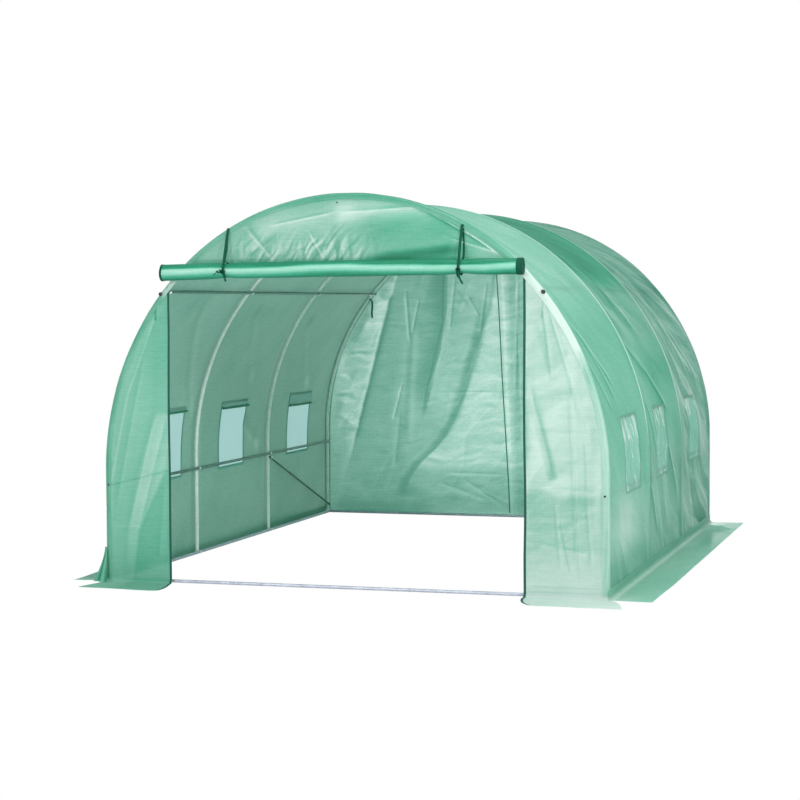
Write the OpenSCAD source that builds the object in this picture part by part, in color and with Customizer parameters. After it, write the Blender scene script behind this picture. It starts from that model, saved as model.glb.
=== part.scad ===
// Walk-in polytunnel: a bolted tube frame of four hoops under a laced-on woven
// cover, with roll-up door, film windows and a ground flap all round.
// Millimetres. Origin on the ground at the middle of the plan. +X is to the
// right seen from the door, +Y runs back from the door, +Z is up.

/* [Tunnel] */
// Outside width of the cover
tunnel_w = 3000; // [2400:50:3600]
// Outside length of the cover
tunnel_l = 4000; // [3000:50:5000]
// Outside height of the cover at the ridge
tunnel_h = 2250; // [2100:10:2500]
// Outside radius of the two side arcs of the arch
side_r = 1660; // [1600:10:1800]

/* [Frame] */
// Diameter of the hoop tubes
hoop_d = 25; // [20:1:32]
// Diameter of the rails that run along the tunnel
rail_d = 19; // [16:1:25]
// Diameter of the two braces by the rear hoop
brace_d = 16; // [12:1:20]
// How far a rail is pressed onto the hoops it crosses
rail_seat = 4; // [2:0.5:6]
// Height of the side rails
side_rail_z = 560; // [400:10:640]
// Angle up the side arc where the roof rails run
roof_rail_a = 40; // [25:1:44]

/* [Cover] */
// Thickness of the woven cover as modelled
cover_t = 2; // [1.5:0.1:4]
// Gap between the hoops and the cover
cover_gap = 0.5; // [0.2:0.1:2]
// Width of the side ground flaps
side_flap = 250; // [150:10:400]
// Width of the end ground flaps
end_flap = 300; // [150:10:400]

/* [Windows] */
// Length of each window along the wall
window_w = 460; // [300:10:700]
// Middle of the three windows of a wall, from the door end
window_y = [-1140, -50, 1280]; // [-1400:10:1400]
// Height of each window
window_h = 440; // [300:10:600]
// Height of the bottom edge of the windows
window_z = 530; // [400:10:700]

/* [Door] */
// Clear width between the door's two edges
door_w = 2100; // [1200:50:2300]
// Length of the rolled-up door
roll_l = 2140; // [1300:10:2400]
// Diameter of the rolled-up door
roll_d = 92; // [60:2:140]
// Height of the middle of the rolled-up door
roll_z = 1812; // [1700:2:1900]
// Distance of each door tie from the middle
tie_x = 700; // [400:10:900]
// Width of the tie tapes
tie_w = 22; // [12:1:40]
// Thickness of the tie tapes
tie_t = 2; // [1:0.5:3]

/* [Hidden] */
$fn = 96;
half_w = tunnel_w / 2;
half_l = tunnel_l / 2;
// roof arc, tangent to both side arcs at 45 degrees
top_r = side_r - (side_r - half_w) / cos(45);
side_cx = half_w - side_r;
leg_h = tunnel_h - top_r - (side_r - top_r) * sin(45);
top_cz = leg_h + (side_r - top_r) * sin(45);
hoop_in = cover_t + cover_gap + hoop_d / 2;
hoop_y = half_l - hoop_in;
bay = 2 * hoop_y / 3;
rail_in = hoop_in + hoop_d / 2 + rail_d / 2 - rail_seat;
rail_end = half_l - cover_t - 3;
// radius and height of the arch inside the cover
in_side = side_r - cover_t;
in_top = top_r - cover_t;
in_join = leg_h + in_side * sin(45);
roll_y = -half_l - roll_d / 2 - 3;
big = 4000;
// facets round the arch
fine = 720;

steel = [0.74, 0.76, 0.78];
mint = [0.45, 0.74, 0.63];
film = [0.86, 0.92, 0.92];
tape = [0.20, 0.50, 0.40];

// where each bay of the cover starts and ends
function bay_y(i) = i == 0 ? -half_l : i == 3 ? half_l : -hoop_y + i * bay;
// a point on the side arc, drawn in from the outside of the cover
function arc_x(a, inset) = side_cx + (side_r - inset) * cos(a);
function arc_z(a, inset) = leg_h + (side_r - inset) * sin(a);

// ---- frame ----

module half_hoop(d) {
    translate([half_w - hoop_in, 0, 0]) cylinder(d = d, h = leg_h, $fn = 48);
    translate([side_cx, 0, leg_h]) rotate([90, 0, 0])
        rotate_extrude(angle = 45, $fn = fine) translate([side_r - hoop_in, 0]) circle(d = d, $fn = 48);
}

module hoop(y) {
    translate([0, y, 0]) {
        half_hoop(hoop_d);
        mirror([1, 0, 0]) half_hoop(hoop_d);
        translate([0, 0, top_cz]) rotate([90, 0, 0]) rotate([0, 0, 45])
            rotate_extrude(angle = 90, $fn = fine) translate([top_r - hoop_in, 0]) circle(d = hoop_d, $fn = 48);
    }
}

module along_y(x, z, d, reach) {
    translate([x, -reach, z]) rotate([-90, 0, 0]) cylinder(d = d, h = 2 * reach);
}

// straight cutters the size of the hoops, leaning with the arch
module hoop_seats(x, z, lean) {
    for (i = [0:3])
        translate([x, -hoop_y + i * bay, z]) rotate([0, lean, 0])
            cylinder(d = hoop_d + 0.2, h = 80, center = true);
}

module right_side_tube(z) {
    difference() {
        along_y(half_w - rail_in, z, rail_d, rail_end);
        hoop_seats(half_w - hoop_in, z, 0);
    }
}

module right_roof_tube() {
    difference() {
        along_y(arc_x(roof_rail_a, rail_in), arc_z(roof_rail_a, rail_in), rail_d, rail_end);
        hoop_seats(arc_x(roof_rail_a, hoop_in), arc_z(roof_rail_a, hoop_in), -roof_rail_a);
    }
}

module ridge_tube() {
    difference() {
        along_y(0, tunnel_h - rail_in, rail_d, rail_end);
        hoop_seats(0, tunnel_h - hoop_in, 90);
    }
}

// a brace from under the side rail on the third hoop to the foot of the rear hoop
module right_brace_tube() {
    x = half_w - hoop_in - hoop_d / 2 - brace_d / 2 - 0.3;
    y0 = bay / 2 - 14;
    z0 = side_rail_z - 26;
    y1 = hoop_y - 4;
    z1 = 58;
    run = norm([y1 - y0, z1 - z0]);
    translate([x, y0, z0]) rotate([-90 - atan2(z0 - z1, y1 - y0), 0, 0])
        cylinder(d = brace_d, h = run);
}

// end ground rail, its ends cut to sit against the side ground rails
module cross_tube(y) {
    difference() {
        translate([-half_w + rail_in, y, rail_d / 2]) rotate([0, 90, 0])
            cylinder(d = rail_d, h = tunnel_w - 2 * rail_in);
        for (s = [-1, 1])
            along_y(s * (half_w - rail_in), rail_d / 2, rail_d + 0.2, rail_end + 5);
    }
}

// ---- cover ----

// draws a shape of the X-Z plane out between two stations along the tunnel
module between(y0, y1) {
    translate([0, y1, 0]) rotate([90, 0, 0]) linear_extrude(height = y1 - y0) children();
}

module ring(r) {
    difference() {
        circle(r = r, $fn = fine);
        circle(r = r - cover_t, $fn = fine);
    }
}

module right_shell(i) {
    between(bay_y(i), bay_y(i + 1)) {
        translate([half_w - cover_t, 0]) square([cover_t, leg_h]);
        translate([side_cx, leg_h]) intersection() {
            ring(side_r);
            polygon([[0, 0], [big, 0], [big, big]]);
        }
    }
}

module window_box(i) {
    translate([half_w - 300, window_y[i] - window_w / 2, window_z]) cube([400, window_w, window_h]);
}

module right_wall(i) {
    difference() {
        right_shell(i);
        window_box(i);
    }
}

module right_window(i) {
    intersection() {
        right_shell(i);
        window_box(i);
    }
}

module roof(i) {
    between(bay_y(i), bay_y(i + 1))
        translate([0, top_cz]) intersection() {
            ring(top_r);
            polygon([[0, 0], [big, big], [-big, big]]);
        }
}

// one side of an end wall under the arch, from x0 out to the cover
module right_end(y0, x0) {
    between(y0, y0 + cover_t) {
        translate([x0, 0]) square([half_w - cover_t - x0, leg_h]);
        intersection() {
            translate([side_cx, leg_h]) circle(r = in_side, $fn = fine);
            translate([x0, leg_h]) square([big, in_join - leg_h]);
        }
    }
}

// the end wall above that, under the roof arc
module gable(y0) {
    between(y0, y0 + cover_t) intersection() {
        translate([0, top_cz]) circle(r = in_top, $fn = fine);
        translate([-big, in_join]) square([2 * big, big]);
    }
}

module flap(x0, y0, x1, y1) {
    translate([x0, y0, 0]) cube([x1 - x0, y1 - y0, cover_t]);
}

// ---- door and ties ----

module roll() {
    translate([-roll_l / 2, roll_y, roll_z]) rotate([0, 90, 0]) cylinder(d = roll_d, h = roll_l);
}

// a tape from the top seam, round the roll, with a free tail in front
module door_tie(x) {
    inner = roll_d / 2 + 0.4;
    outer = inner + tie_t;
    r = outer + 0.2;
    ay = -half_l - 2.5;
    az = top_cz + sqrt(top_r * top_r - tie_x * tie_x) - 12;
    far = norm([ay - roll_y, az - roll_z]);
    a = atan2(az - roll_z, ay - roll_y) + acos(r / far);
    run = sqrt(far * far - r * r);
    difference() {
        translate([x - tie_w / 2, roll_y, roll_z]) {
            rotate([0, 90, 0]) cylinder(r = outer, h = tie_w);
            translate([1, r * cos(a), r * sin(a)]) rotate([a - 180, 0, 0])
                translate([0, -tie_t / 2, 0]) cube([tie_w - 2, tie_t, run]);
            translate([4, -outer - 0.5, -88]) cube([tie_w - 8, tie_t, 92]);
        }
        translate([x - tie_w, roll_y, roll_z]) rotate([0, 90, 0]) cylinder(r = inner, h = 2 * tie_w);
    }
}

module tie_tail(x, y, z, run) {
    translate([x - tie_t / 2, y - 8, z - run]) cube([tie_t, 16, run]);
}

// ---- nodes ----

module front_hoop() { color(steel) hoop(-hoop_y); }
module second_hoop() { color(steel) hoop(-hoop_y + bay); }
module third_hoop() { color(steel) hoop(-hoop_y + 2 * bay); }
module rear_hoop() { color(steel) hoop(hoop_y); }

module left_side_rail() { color(steel) mirror([1, 0, 0]) right_side_tube(side_rail_z); }
module right_side_rail() { color(steel) right_side_tube(side_rail_z); }
module left_roof_rail() { color(steel) mirror([1, 0, 0]) right_roof_tube(); }
module right_roof_rail() { color(steel) right_roof_tube(); }
module ridge_rail() { color(steel) ridge_tube(); }

module left_brace() { color(steel) mirror([1, 0, 0]) right_brace_tube(); }
module right_brace() { color(steel) right_brace_tube(); }

module left_ground_rail() { color(steel) mirror([1, 0, 0]) right_side_tube(rail_d / 2); }
module right_ground_rail() { color(steel) right_side_tube(rail_d / 2); }
module front_ground_rail() { color(steel) cross_tube(-half_l + rail_in); }
module rear_ground_rail() { color(steel) cross_tube(half_l - rail_in); }

module left_wall_front() { color(mint) mirror([1, 0, 0]) right_wall(0); }
module left_wall_middle() { color(mint) mirror([1, 0, 0]) right_wall(1); }
module left_wall_rear() { color(mint) mirror([1, 0, 0]) right_wall(2); }
module right_wall_front() { color(mint) right_wall(0); }
module right_wall_middle() { color(mint) right_wall(1); }
module right_wall_rear() { color(mint) right_wall(2); }

module roof_front() { color(mint) roof(0); }
module roof_middle() { color(mint) roof(1); }
module roof_rear() { color(mint) roof(2); }

module left_window_front() { color(film) mirror([1, 0, 0]) right_window(0); }
module left_window_middle() { color(film) mirror([1, 0, 0]) right_window(1); }
module left_window_rear() { color(film) mirror([1, 0, 0]) right_window(2); }
module right_window_front() { color(film) right_window(0); }
module right_window_middle() { color(film) right_window(1); }
module right_window_rear() { color(film) right_window(2); }

module front_left_panel() { color(mint) mirror([1, 0, 0]) right_end(-half_l, door_w / 2); }
module front_right_panel() { color(mint) right_end(-half_l, door_w / 2); }
module front_gable() { color(mint) gable(-half_l); }
module rear_left_panel() { color(mint) mirror([1, 0, 0]) right_end(half_l - cover_t, 0); }
module rear_right_panel() { color(mint) right_end(half_l - cover_t, 0); }
module rear_gable() { color(mint) gable(half_l - cover_t); }

module rolled_door() { color(mint) roll(); }
module left_door_tie() { color(tape) door_tie(-tie_x); }
module right_door_tie() { color(tape) door_tie(tie_x); }

module left_flap() { color(mint) flap(-half_w - side_flap, -half_l, -half_w, half_l); }
module right_flap() { color(mint) flap(half_w, -half_l, half_w + side_flap, half_l); }
module front_left_flap() { color(mint) flap(-half_w, -half_l - end_flap, -door_w / 2, -half_l); }
module front_right_flap() { color(mint) flap(door_w / 2, -half_l - end_flap, half_w, -half_l); }
module rear_flap() { color(mint) flap(-half_w, half_l, half_w, half_l + end_flap); }

// free tails of the tapes that lace the cover to the end hoops
module cover_ties() {
    color(tape) for (s = [-1, 1]) for (e = [-1, 1])
        tie_tail(s * 1140, e * hoop_y, 1640, 140);
}

front_hoop();
second_hoop();
third_hoop();
rear_hoop();
left_side_rail();
right_side_rail();
left_roof_rail();
right_roof_rail();
ridge_rail();
left_brace();
right_brace();
left_ground_rail();
right_ground_rail();
front_ground_rail();
rear_ground_rail();
left_wall_front();
left_wall_middle();
left_wall_rear();
right_wall_front();
right_wall_middle();
right_wall_rear();
roof_front();
roof_middle();
roof_rear();
left_window_front();
left_window_middle();
left_window_rear();
right_window_front();
right_window_middle();
right_window_rear();
front_left_panel();
front_right_panel();
front_gable();
rear_left_panel();
rear_right_panel();
rear_gable();
rolled_door();
left_door_tie();
right_door_tie();
left_flap();
right_flap();
front_left_flap();
front_right_flap();
rear_flap();
cover_ties();
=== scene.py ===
import math

import bpy
import numpy as np
from mathutils import Matrix, Vector


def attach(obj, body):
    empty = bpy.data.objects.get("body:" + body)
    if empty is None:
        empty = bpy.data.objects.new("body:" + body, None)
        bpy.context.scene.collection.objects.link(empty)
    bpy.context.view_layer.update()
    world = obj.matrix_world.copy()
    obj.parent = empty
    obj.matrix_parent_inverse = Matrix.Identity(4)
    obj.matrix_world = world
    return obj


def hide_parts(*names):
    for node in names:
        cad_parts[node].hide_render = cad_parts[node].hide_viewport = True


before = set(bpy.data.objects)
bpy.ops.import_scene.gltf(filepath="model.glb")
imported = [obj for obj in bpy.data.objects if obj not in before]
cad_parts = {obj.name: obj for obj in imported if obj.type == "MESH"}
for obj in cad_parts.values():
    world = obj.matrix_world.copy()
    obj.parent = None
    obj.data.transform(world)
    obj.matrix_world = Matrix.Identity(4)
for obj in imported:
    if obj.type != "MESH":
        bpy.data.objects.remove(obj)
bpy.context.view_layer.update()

# ------------------------------------------------------------------ sizes, in metres

HALF_W, HALF_L, HEIGHT = 1.5, 2.0, 2.25
SIDE_R, A45 = 1.66, math.pi / 4
TOP_R = SIDE_R - (SIDE_R - HALF_W) / math.cos(A45)
SIDE_CX = HALF_W - SIDE_R
LEG = HEIGHT - TOP_R - (SIDE_R - TOP_R) * math.sin(A45)
TOP_CZ = LEG + (SIDE_R - TOP_R) * math.sin(A45)
ARC1, ARC2 = SIDE_R * A45, TOP_R * A45
HALF_ARC = LEG + ARC1 + ARC2
HOOP_IN, HOOP_R = 0.015, 0.0125
HOOP_Y = [-1.985, -1.985 / 3, 1.985 / 3, 1.985]
RAIL_IN, RAIL_R = 0.033, 0.0095
SIDE_RAIL_Z = 0.56
ROOF_RAIL_A = math.radians(40)
ROOF_RAIL_P = LEG + SIDE_R * ROOF_RAIL_A
WIN_LOW, WIN_HIGH, WIN_HALF = 0.53, 0.97, 0.23
WIN_Y = [-1.14, -0.05, 1.28]
WIN_P1 = LEG + SIDE_R * math.asin((WIN_HIGH - LEG) / SIDE_R)
DOOR_LEFT, DOOR_RIGHT = 1.085, 1.027
ROLL_X, ROLL_Y, ROLL_Z, ROLL_R, ROLL_HALF = -0.035, -2.049, 1.812, 0.046, 1.07
TIE_X = 0.70


def arch(p, inset=0.0):
    """Point and outward normal on the right half of the arch, p metres up from its foot."""
    p = np.asarray(p, float)
    a1 = (p - LEG) / SIDE_R
    a2 = A45 + (p - LEG - ARC1) / TOP_R
    low, mid = p < LEG, p < LEG + ARC1
    x = np.where(low, HALF_W - inset, np.where(mid, SIDE_CX + (SIDE_R - inset) * np.cos(a1), (TOP_R - inset) * np.cos(a2)))
    z = np.where(low, p, np.where(mid, LEG + (SIDE_R - inset) * np.sin(a1), TOP_CZ + (TOP_R - inset) * np.sin(a2)))
    a = np.where(low, 0.0, np.where(mid, a1, a2))
    return x, z, np.cos(a), np.sin(a)


def half_width(z, inset=0.0):
    """Half the width of the arch at a height."""
    z = np.asarray(z, float)
    s = np.sqrt(np.maximum((SIDE_R - inset) ** 2 - np.maximum(z - LEG, 0) ** 2, 0)) + SIDE_CX
    t = np.sqrt(np.maximum((TOP_R - inset) ** 2 - (z - TOP_CZ) ** 2, 0))
    return np.where(z < LEG, HALF_W - inset, np.where(z < LEG + (SIDE_R - inset) * math.sin(A45), s, t))


# ------------------------------------------------------------------ numbers for folds


def smooth(a, b, x):
    t = np.clip((np.asarray(x, float) - a) / (b - a), 0, 1)
    return t * t * (3 - 2 * t)


def spot(i, j, seed):
    """A fixed number from -1 to 1 for each point of a lattice."""
    n = (i * 374761393 + j * 668265263 + seed * 974711) & 0xFFFFFFFF
    n = ((n ^ (n >> 13)) * 1274126177) & 0xFFFFFFFF
    n = ((n ^ (n >> 16)) * 2246822519) & 0xFFFFFFFF
    return (n ^ (n >> 15)) / 2147483647.5 - 1


def lattice(x, y):
    x, y = np.broadcast_arrays(np.asarray(x, float), np.asarray(y, float))
    xi, yi = np.floor(x).astype(np.int64), np.floor(y).astype(np.int64)
    return xi, yi, x - xi, y - yi


def noise(x, y, seed):
    xi, yi, fx, fy = lattice(x, y)
    u, v = fx * fx * (3 - 2 * fx), fy * fy * (3 - 2 * fy)
    low = spot(xi, yi, seed) * (1 - u) + spot(xi + 1, yi, seed) * u
    high = spot(xi, yi + 1, seed) * (1 - u) + spot(xi + 1, yi + 1, seed) * u
    return low * (1 - v) + high * v


def facets(u, v, seed, size, stretch=1.6, turn=0.0, warp=0.45):
    """Height from -1 to 1 of crushed film: flat facets that meet in sharp creases, longest along turn."""
    c, s = math.cos(turn), math.sin(turn)
    a, b = (u * c + v * s) / (size * stretch), (v * c - u * s) / size
    a, b = a + warp * noise(a * 0.8, b * 0.8, seed + 1), b + warp * noise(a * 0.8 + 7.3, b * 0.8, seed + 2)
    i, j, fx, fy = lattice(a + 0.5 * b, b)
    h00, h10, h01, h11 = (spot(i + k, j + m, seed) for k, m in ((0, 0), (1, 0), (0, 1), (1, 1)))
    low = h00 + fx * (h10 - h00) + fy * (h01 - h00)
    high = h11 + (1 - fx) * (h01 - h11) + (1 - fy) * (h10 - h11)
    return np.where(fx + fy < 1, low, high)


def painted_facet_shade(h, u, v, gain_u, gain_v, least=-0.2, most=0.25):
    """Painted light and shade: lighter where the height rises along u or v, darker where it falls, so each facet gets
    its own painted shade.
    """
    hu = np.gradient(h, axis=0) / np.gradient(u, axis=0)
    hv = np.gradient(h, axis=1) / np.gradient(v, axis=1)
    return np.clip(gain_u * hu + gain_v * hv, least, most)


def along(u, v, a, b):
    """Share of the way along the line a to b, and the distance to its left."""
    lx, ly = b[0] - a[0], b[1] - a[1]
    n = math.hypot(lx, ly)
    return ((u - a[0]) * lx + (v - a[1]) * ly) / (n * n), (-(u - a[0]) * ly + (v - a[1]) * lx) / n


def fold(u, v, a, b, width, height, sharp=True, bow=0.0, fade=0.18):
    """One fold along the line from a to b: a ridge (or valley) that dies out at both ends."""
    s, d = along(u, v, a, b)
    d = d - bow * 4 * np.clip(s, 0, 1) * (1 - np.clip(s, 0, 1))
    ends = smooth(-0.02, fade, s) * (1 - smooth(1 - fade, 1.02, s))
    k = np.abs(d) / width
    return height * (np.exp(-(k**1.1) * 1.6) if sharp else np.exp(-(k**2) * 1.6)) * ends


def band(u, v, a, b, width, soft=0.25, fade=0.06):
    """1 inside a straight stripe from a to b, 0 outside, soft at its edges."""
    s, d = along(u, v, a, b)
    return (1 - smooth(width * (1 - soft), width * (1 + soft), np.abs(d))) * smooth(-fade, fade, s) * (1 - smooth(1 - fade, 1 + fade, s))


def left_of(u, v, a, b, soft=0.01):
    """1 on the left of the line from a to b, 0 on its right."""
    return smooth(-soft, soft, along(u, v, a, b)[1])


def crease_whitening_and_hollow_shade(h, step, gain, low=-0.05, high=0.16):
    """How much the creases that stand out whiten, as folded film does, and how much painted shade darkens the hollow
    ones.
    """
    g = np.zeros_like(h)
    g[1:-1] += h[:-2] + h[2:] - 2 * h[1:-1]
    g[:, 1:-1] += h[:, :-2] + h[:, 2:] - 2 * h[:, 1:-1]
    return np.clip(-g / step**2 * gain, low, high)


# ------------------------------------------------------------------ meshes


def mesh_object(name, verts, faces, material, smooth_faces=True, cloth=None, tone=None, crush=None, grey=None):
    me = bpy.data.meshes.new(name)
    me.from_pydata([tuple(v) for v in verts], [], [tuple(int(i) for i in f) for f in faces])
    me.polygons.foreach_set("use_smooth", [smooth_faces] * len(me.polygons))
    if cloth is not None:
        at = me.attributes.new("cloth", "FLOAT_VECTOR", "POINT")
        c = np.zeros((len(verts), 3), np.float32)
        c[:, :2] = cloth
        at.data.foreach_set("vector", c.ravel())
    for key, values in (("tone", tone), ("crush", crush), ("grey", grey)):
        if values is not None:
            at = me.attributes.new(key, "FLOAT", "POINT")
            at.data.foreach_set("value", np.asarray(values, np.float32).ravel())
    me.update()
    ob = bpy.data.objects.new(name, me)
    bpy.context.scene.collection.objects.link(ob)
    for m in material if isinstance(material, (list, tuple)) else [material]:
        me.materials.append(m)
    return ob


def grid_object(name, P, material, cloth, tone, keep=None, flip=False, crush=0.0, grey=0.0):
    """A sheet from a grid of points (n, m, 3). keep says which of its cells are there."""
    n, m = P.shape[:2]
    i = np.arange(n * m).reshape(n, m)
    f = np.stack([i[:-1, :-1], i[1:, :-1], i[1:, 1:], i[:-1, 1:]], -1)
    f = f[keep] if keep is not None else f.reshape(-1, 4)
    if flip:
        f = f[:, ::-1]
    used = np.unique(f)
    new = np.full(n * m, -1)
    new[used] = np.arange(len(used))
    cloth = np.asarray(cloth, float).reshape(-1, 2)[used]
    tone, crush, grey = (np.broadcast_to(np.asarray(k, float), P.shape[:2]).reshape(-1)[used] for k in (tone, crush, grey))
    return mesh_object(name, P.reshape(-1, 3)[used], new[f], material, True, cloth, tone, crush, grey)


def line_steps(*parts):
    """Numbers along a line: (start, end, steps), ... joined without doubles."""
    out = [np.array([parts[0][0]])]
    for a, b, k in parts:
        out.append(np.linspace(a, b, k + 1)[1:])
    return np.concatenate(out)


def ribbon(path, width, side):
    """Vertices and quads of a flat tape along a path; side is its width direction at each point."""
    path, side = np.asarray(path, float), np.asarray(side, float)
    if side.ndim == 1:
        side = np.repeat(side[None], len(path), 0)
    side = side / np.linalg.norm(side, axis=1)[:, None]
    k = np.array([-0.5, -0.17, 0.17, 0.5])
    P = path[:, None, :] + side[:, None, :] * (k * width)[None, :, None]
    run = np.concatenate([[0], np.cumsum(np.linalg.norm(np.diff(path, axis=0), axis=1))])
    C = np.stack(np.broadcast_arrays(run[:, None], (k * width)[None]), -1)
    return P, C


def smooth_path(points, count):
    """A rounded line through some points (Catmull-Rom), evenly spaced."""
    p = np.asarray(points, float)
    p = np.concatenate([[2 * p[0] - p[1]], p, [2 * p[-1] - p[-2]]])
    out = []
    for i in range(1, len(p) - 2):
        t = np.linspace(0, 1, 24, endpoint=i == len(p) - 3)[:, None]
        a, b, c, d = p[i - 1], p[i], p[i + 1], p[i + 2]
        out.append(0.5 * (2 * b + (c - a) * t + (2 * a - 5 * b + 4 * c - d) * t**2 + (3 * b - a - 3 * c + d) * t**3))
    q = np.concatenate(out)
    s = np.concatenate([[0], np.cumsum(np.linalg.norm(np.diff(q, axis=0), axis=1))])
    w = np.linspace(0, s[-1], count)
    return np.stack([np.interp(w, s, q[:, k]) for k in range(3)], 1)


class Parts:
    """Collects small shapes into one mesh."""

    def __init__(self):
        self.v, self.f, self.c, self.n = [], [], [], 0

    def add(self, verts, faces, cloth=None):
        verts = np.asarray(verts, float).reshape(-1, 3)
        self.v.append(verts)
        self.f += [tuple(int(i) + self.n for i in f) for f in faces]
        self.c.append(np.zeros((len(verts), 2)) if cloth is None else np.asarray(cloth, float).reshape(-1, 2))
        self.n += len(verts)

    def grid(self, P, cloth=None):
        n, m = P.shape[:2]
        i = np.arange(n * m).reshape(n, m)
        self.add(P, np.stack([i[:-1, :-1], i[1:, :-1], i[1:, 1:], i[:-1, 1:]], -1).reshape(-1, 4), cloth)

    def turned(self, profile, origin, axis, sides=16):
        """A turned shape: (radius, height) pairs round an axis."""
        axis = Vector(axis).normalized()
        m = axis.to_track_quat("Z", "Y").to_matrix()
        ang = np.linspace(0, 2 * math.pi, sides, endpoint=False)
        rows = []
        for r, h in profile:
            rows.append([np.array(origin) + np.array(m @ Vector((r * math.cos(a), r * math.sin(a), h))) for a in ang])
        P = np.array(rows)
        k = len(profile)
        i = np.arange(k * sides).reshape(k, sides)
        j = np.roll(i, -1, 1)
        f = np.stack([i[:-1], j[:-1], j[1:], i[1:]], -1).reshape(-1, 4)
        self.add(P, [tuple(x) for x in f] + [tuple(i[-1])] + [tuple(i[0][::-1])])

    def object(self, name, material, smooth_faces=True, tone=0.5, grey=0.0):
        v = np.concatenate(self.v)
        return mesh_object(name, v, self.f, material, smooth_faces, np.concatenate(self.c), np.full(len(v), tone), np.zeros(len(v)), np.full(len(v), grey))


# ------------------------------------------------------------------ materials


class Nodes:
    def __init__(self, name):
        self.mat = bpy.data.materials.new(name)
        self.mat.use_nodes = True
        self.tree = self.mat.node_tree
        self.tree.nodes.clear()
        self.out = self.tree.nodes.new("ShaderNodeOutputMaterial")

    def new(self, kind, **values):
        n = self.tree.nodes.new(kind)
        for k, v in values.items():
            if k.startswith("in_"):
                key = k[3:]
                sock = n.inputs[int(key)] if key.isdigit() else n.inputs[key.replace("_", " ")]
                if isinstance(v, bpy.types.NodeSocket):
                    self.tree.links.new(v, sock)
                else:
                    sock.default_value = v
            else:
                setattr(n, k, v)
        return n

    def math(self, op, a, b=0.0, c=0.0):
        return self.new("ShaderNodeMath", operation=op, in_0=a, in_1=b, in_2=c).outputs[0]

    def step(self, value, a, b, out_a=0.0, out_b=1.0):
        return self.new("ShaderNodeMapRange", interpolation_type="SMOOTHSTEP", in_0=value, in_1=a, in_2=b, in_3=out_a, in_4=out_b).outputs[0]

    def link(self, a, b):
        self.tree.links.new(a, b)

    def ramp(self, fac, stops):
        n = self.new("ShaderNodeValToRGB", in_0=fac)
        el = n.color_ramp.elements
        while len(el) < len(stops):
            el.new(0.5)
        for e, (at, col) in zip(el, stops):
            e.position = at
            e.color = (*col, 1)
        return n.outputs[0]


def srgb(r, g, b):
    return tuple(((c / 255 + 0.055) / 1.055) ** 2.4 if c > 10 else c / 255 / 12.92 for c in (r, g, b))


COVER_STOPS = [
    (0.0, srgb(10, 122, 88)),
    (0.3, srgb(71, 168, 138)),
    (0.6, srgb(138, 200, 178)),
    (1.0, srgb(228, 241, 235)),
]


# A greyer copy of the cover's colours; the grey attribute mixes it in to paint sheen and shade.
GREY_STOPS = [
    (0.0, srgb(30, 106, 82)),
    (0.3, srgb(92, 150, 132)),
    (0.6, srgb(150, 190, 177)),
    (1.0, srgb(226, 237, 233)),
]


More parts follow.
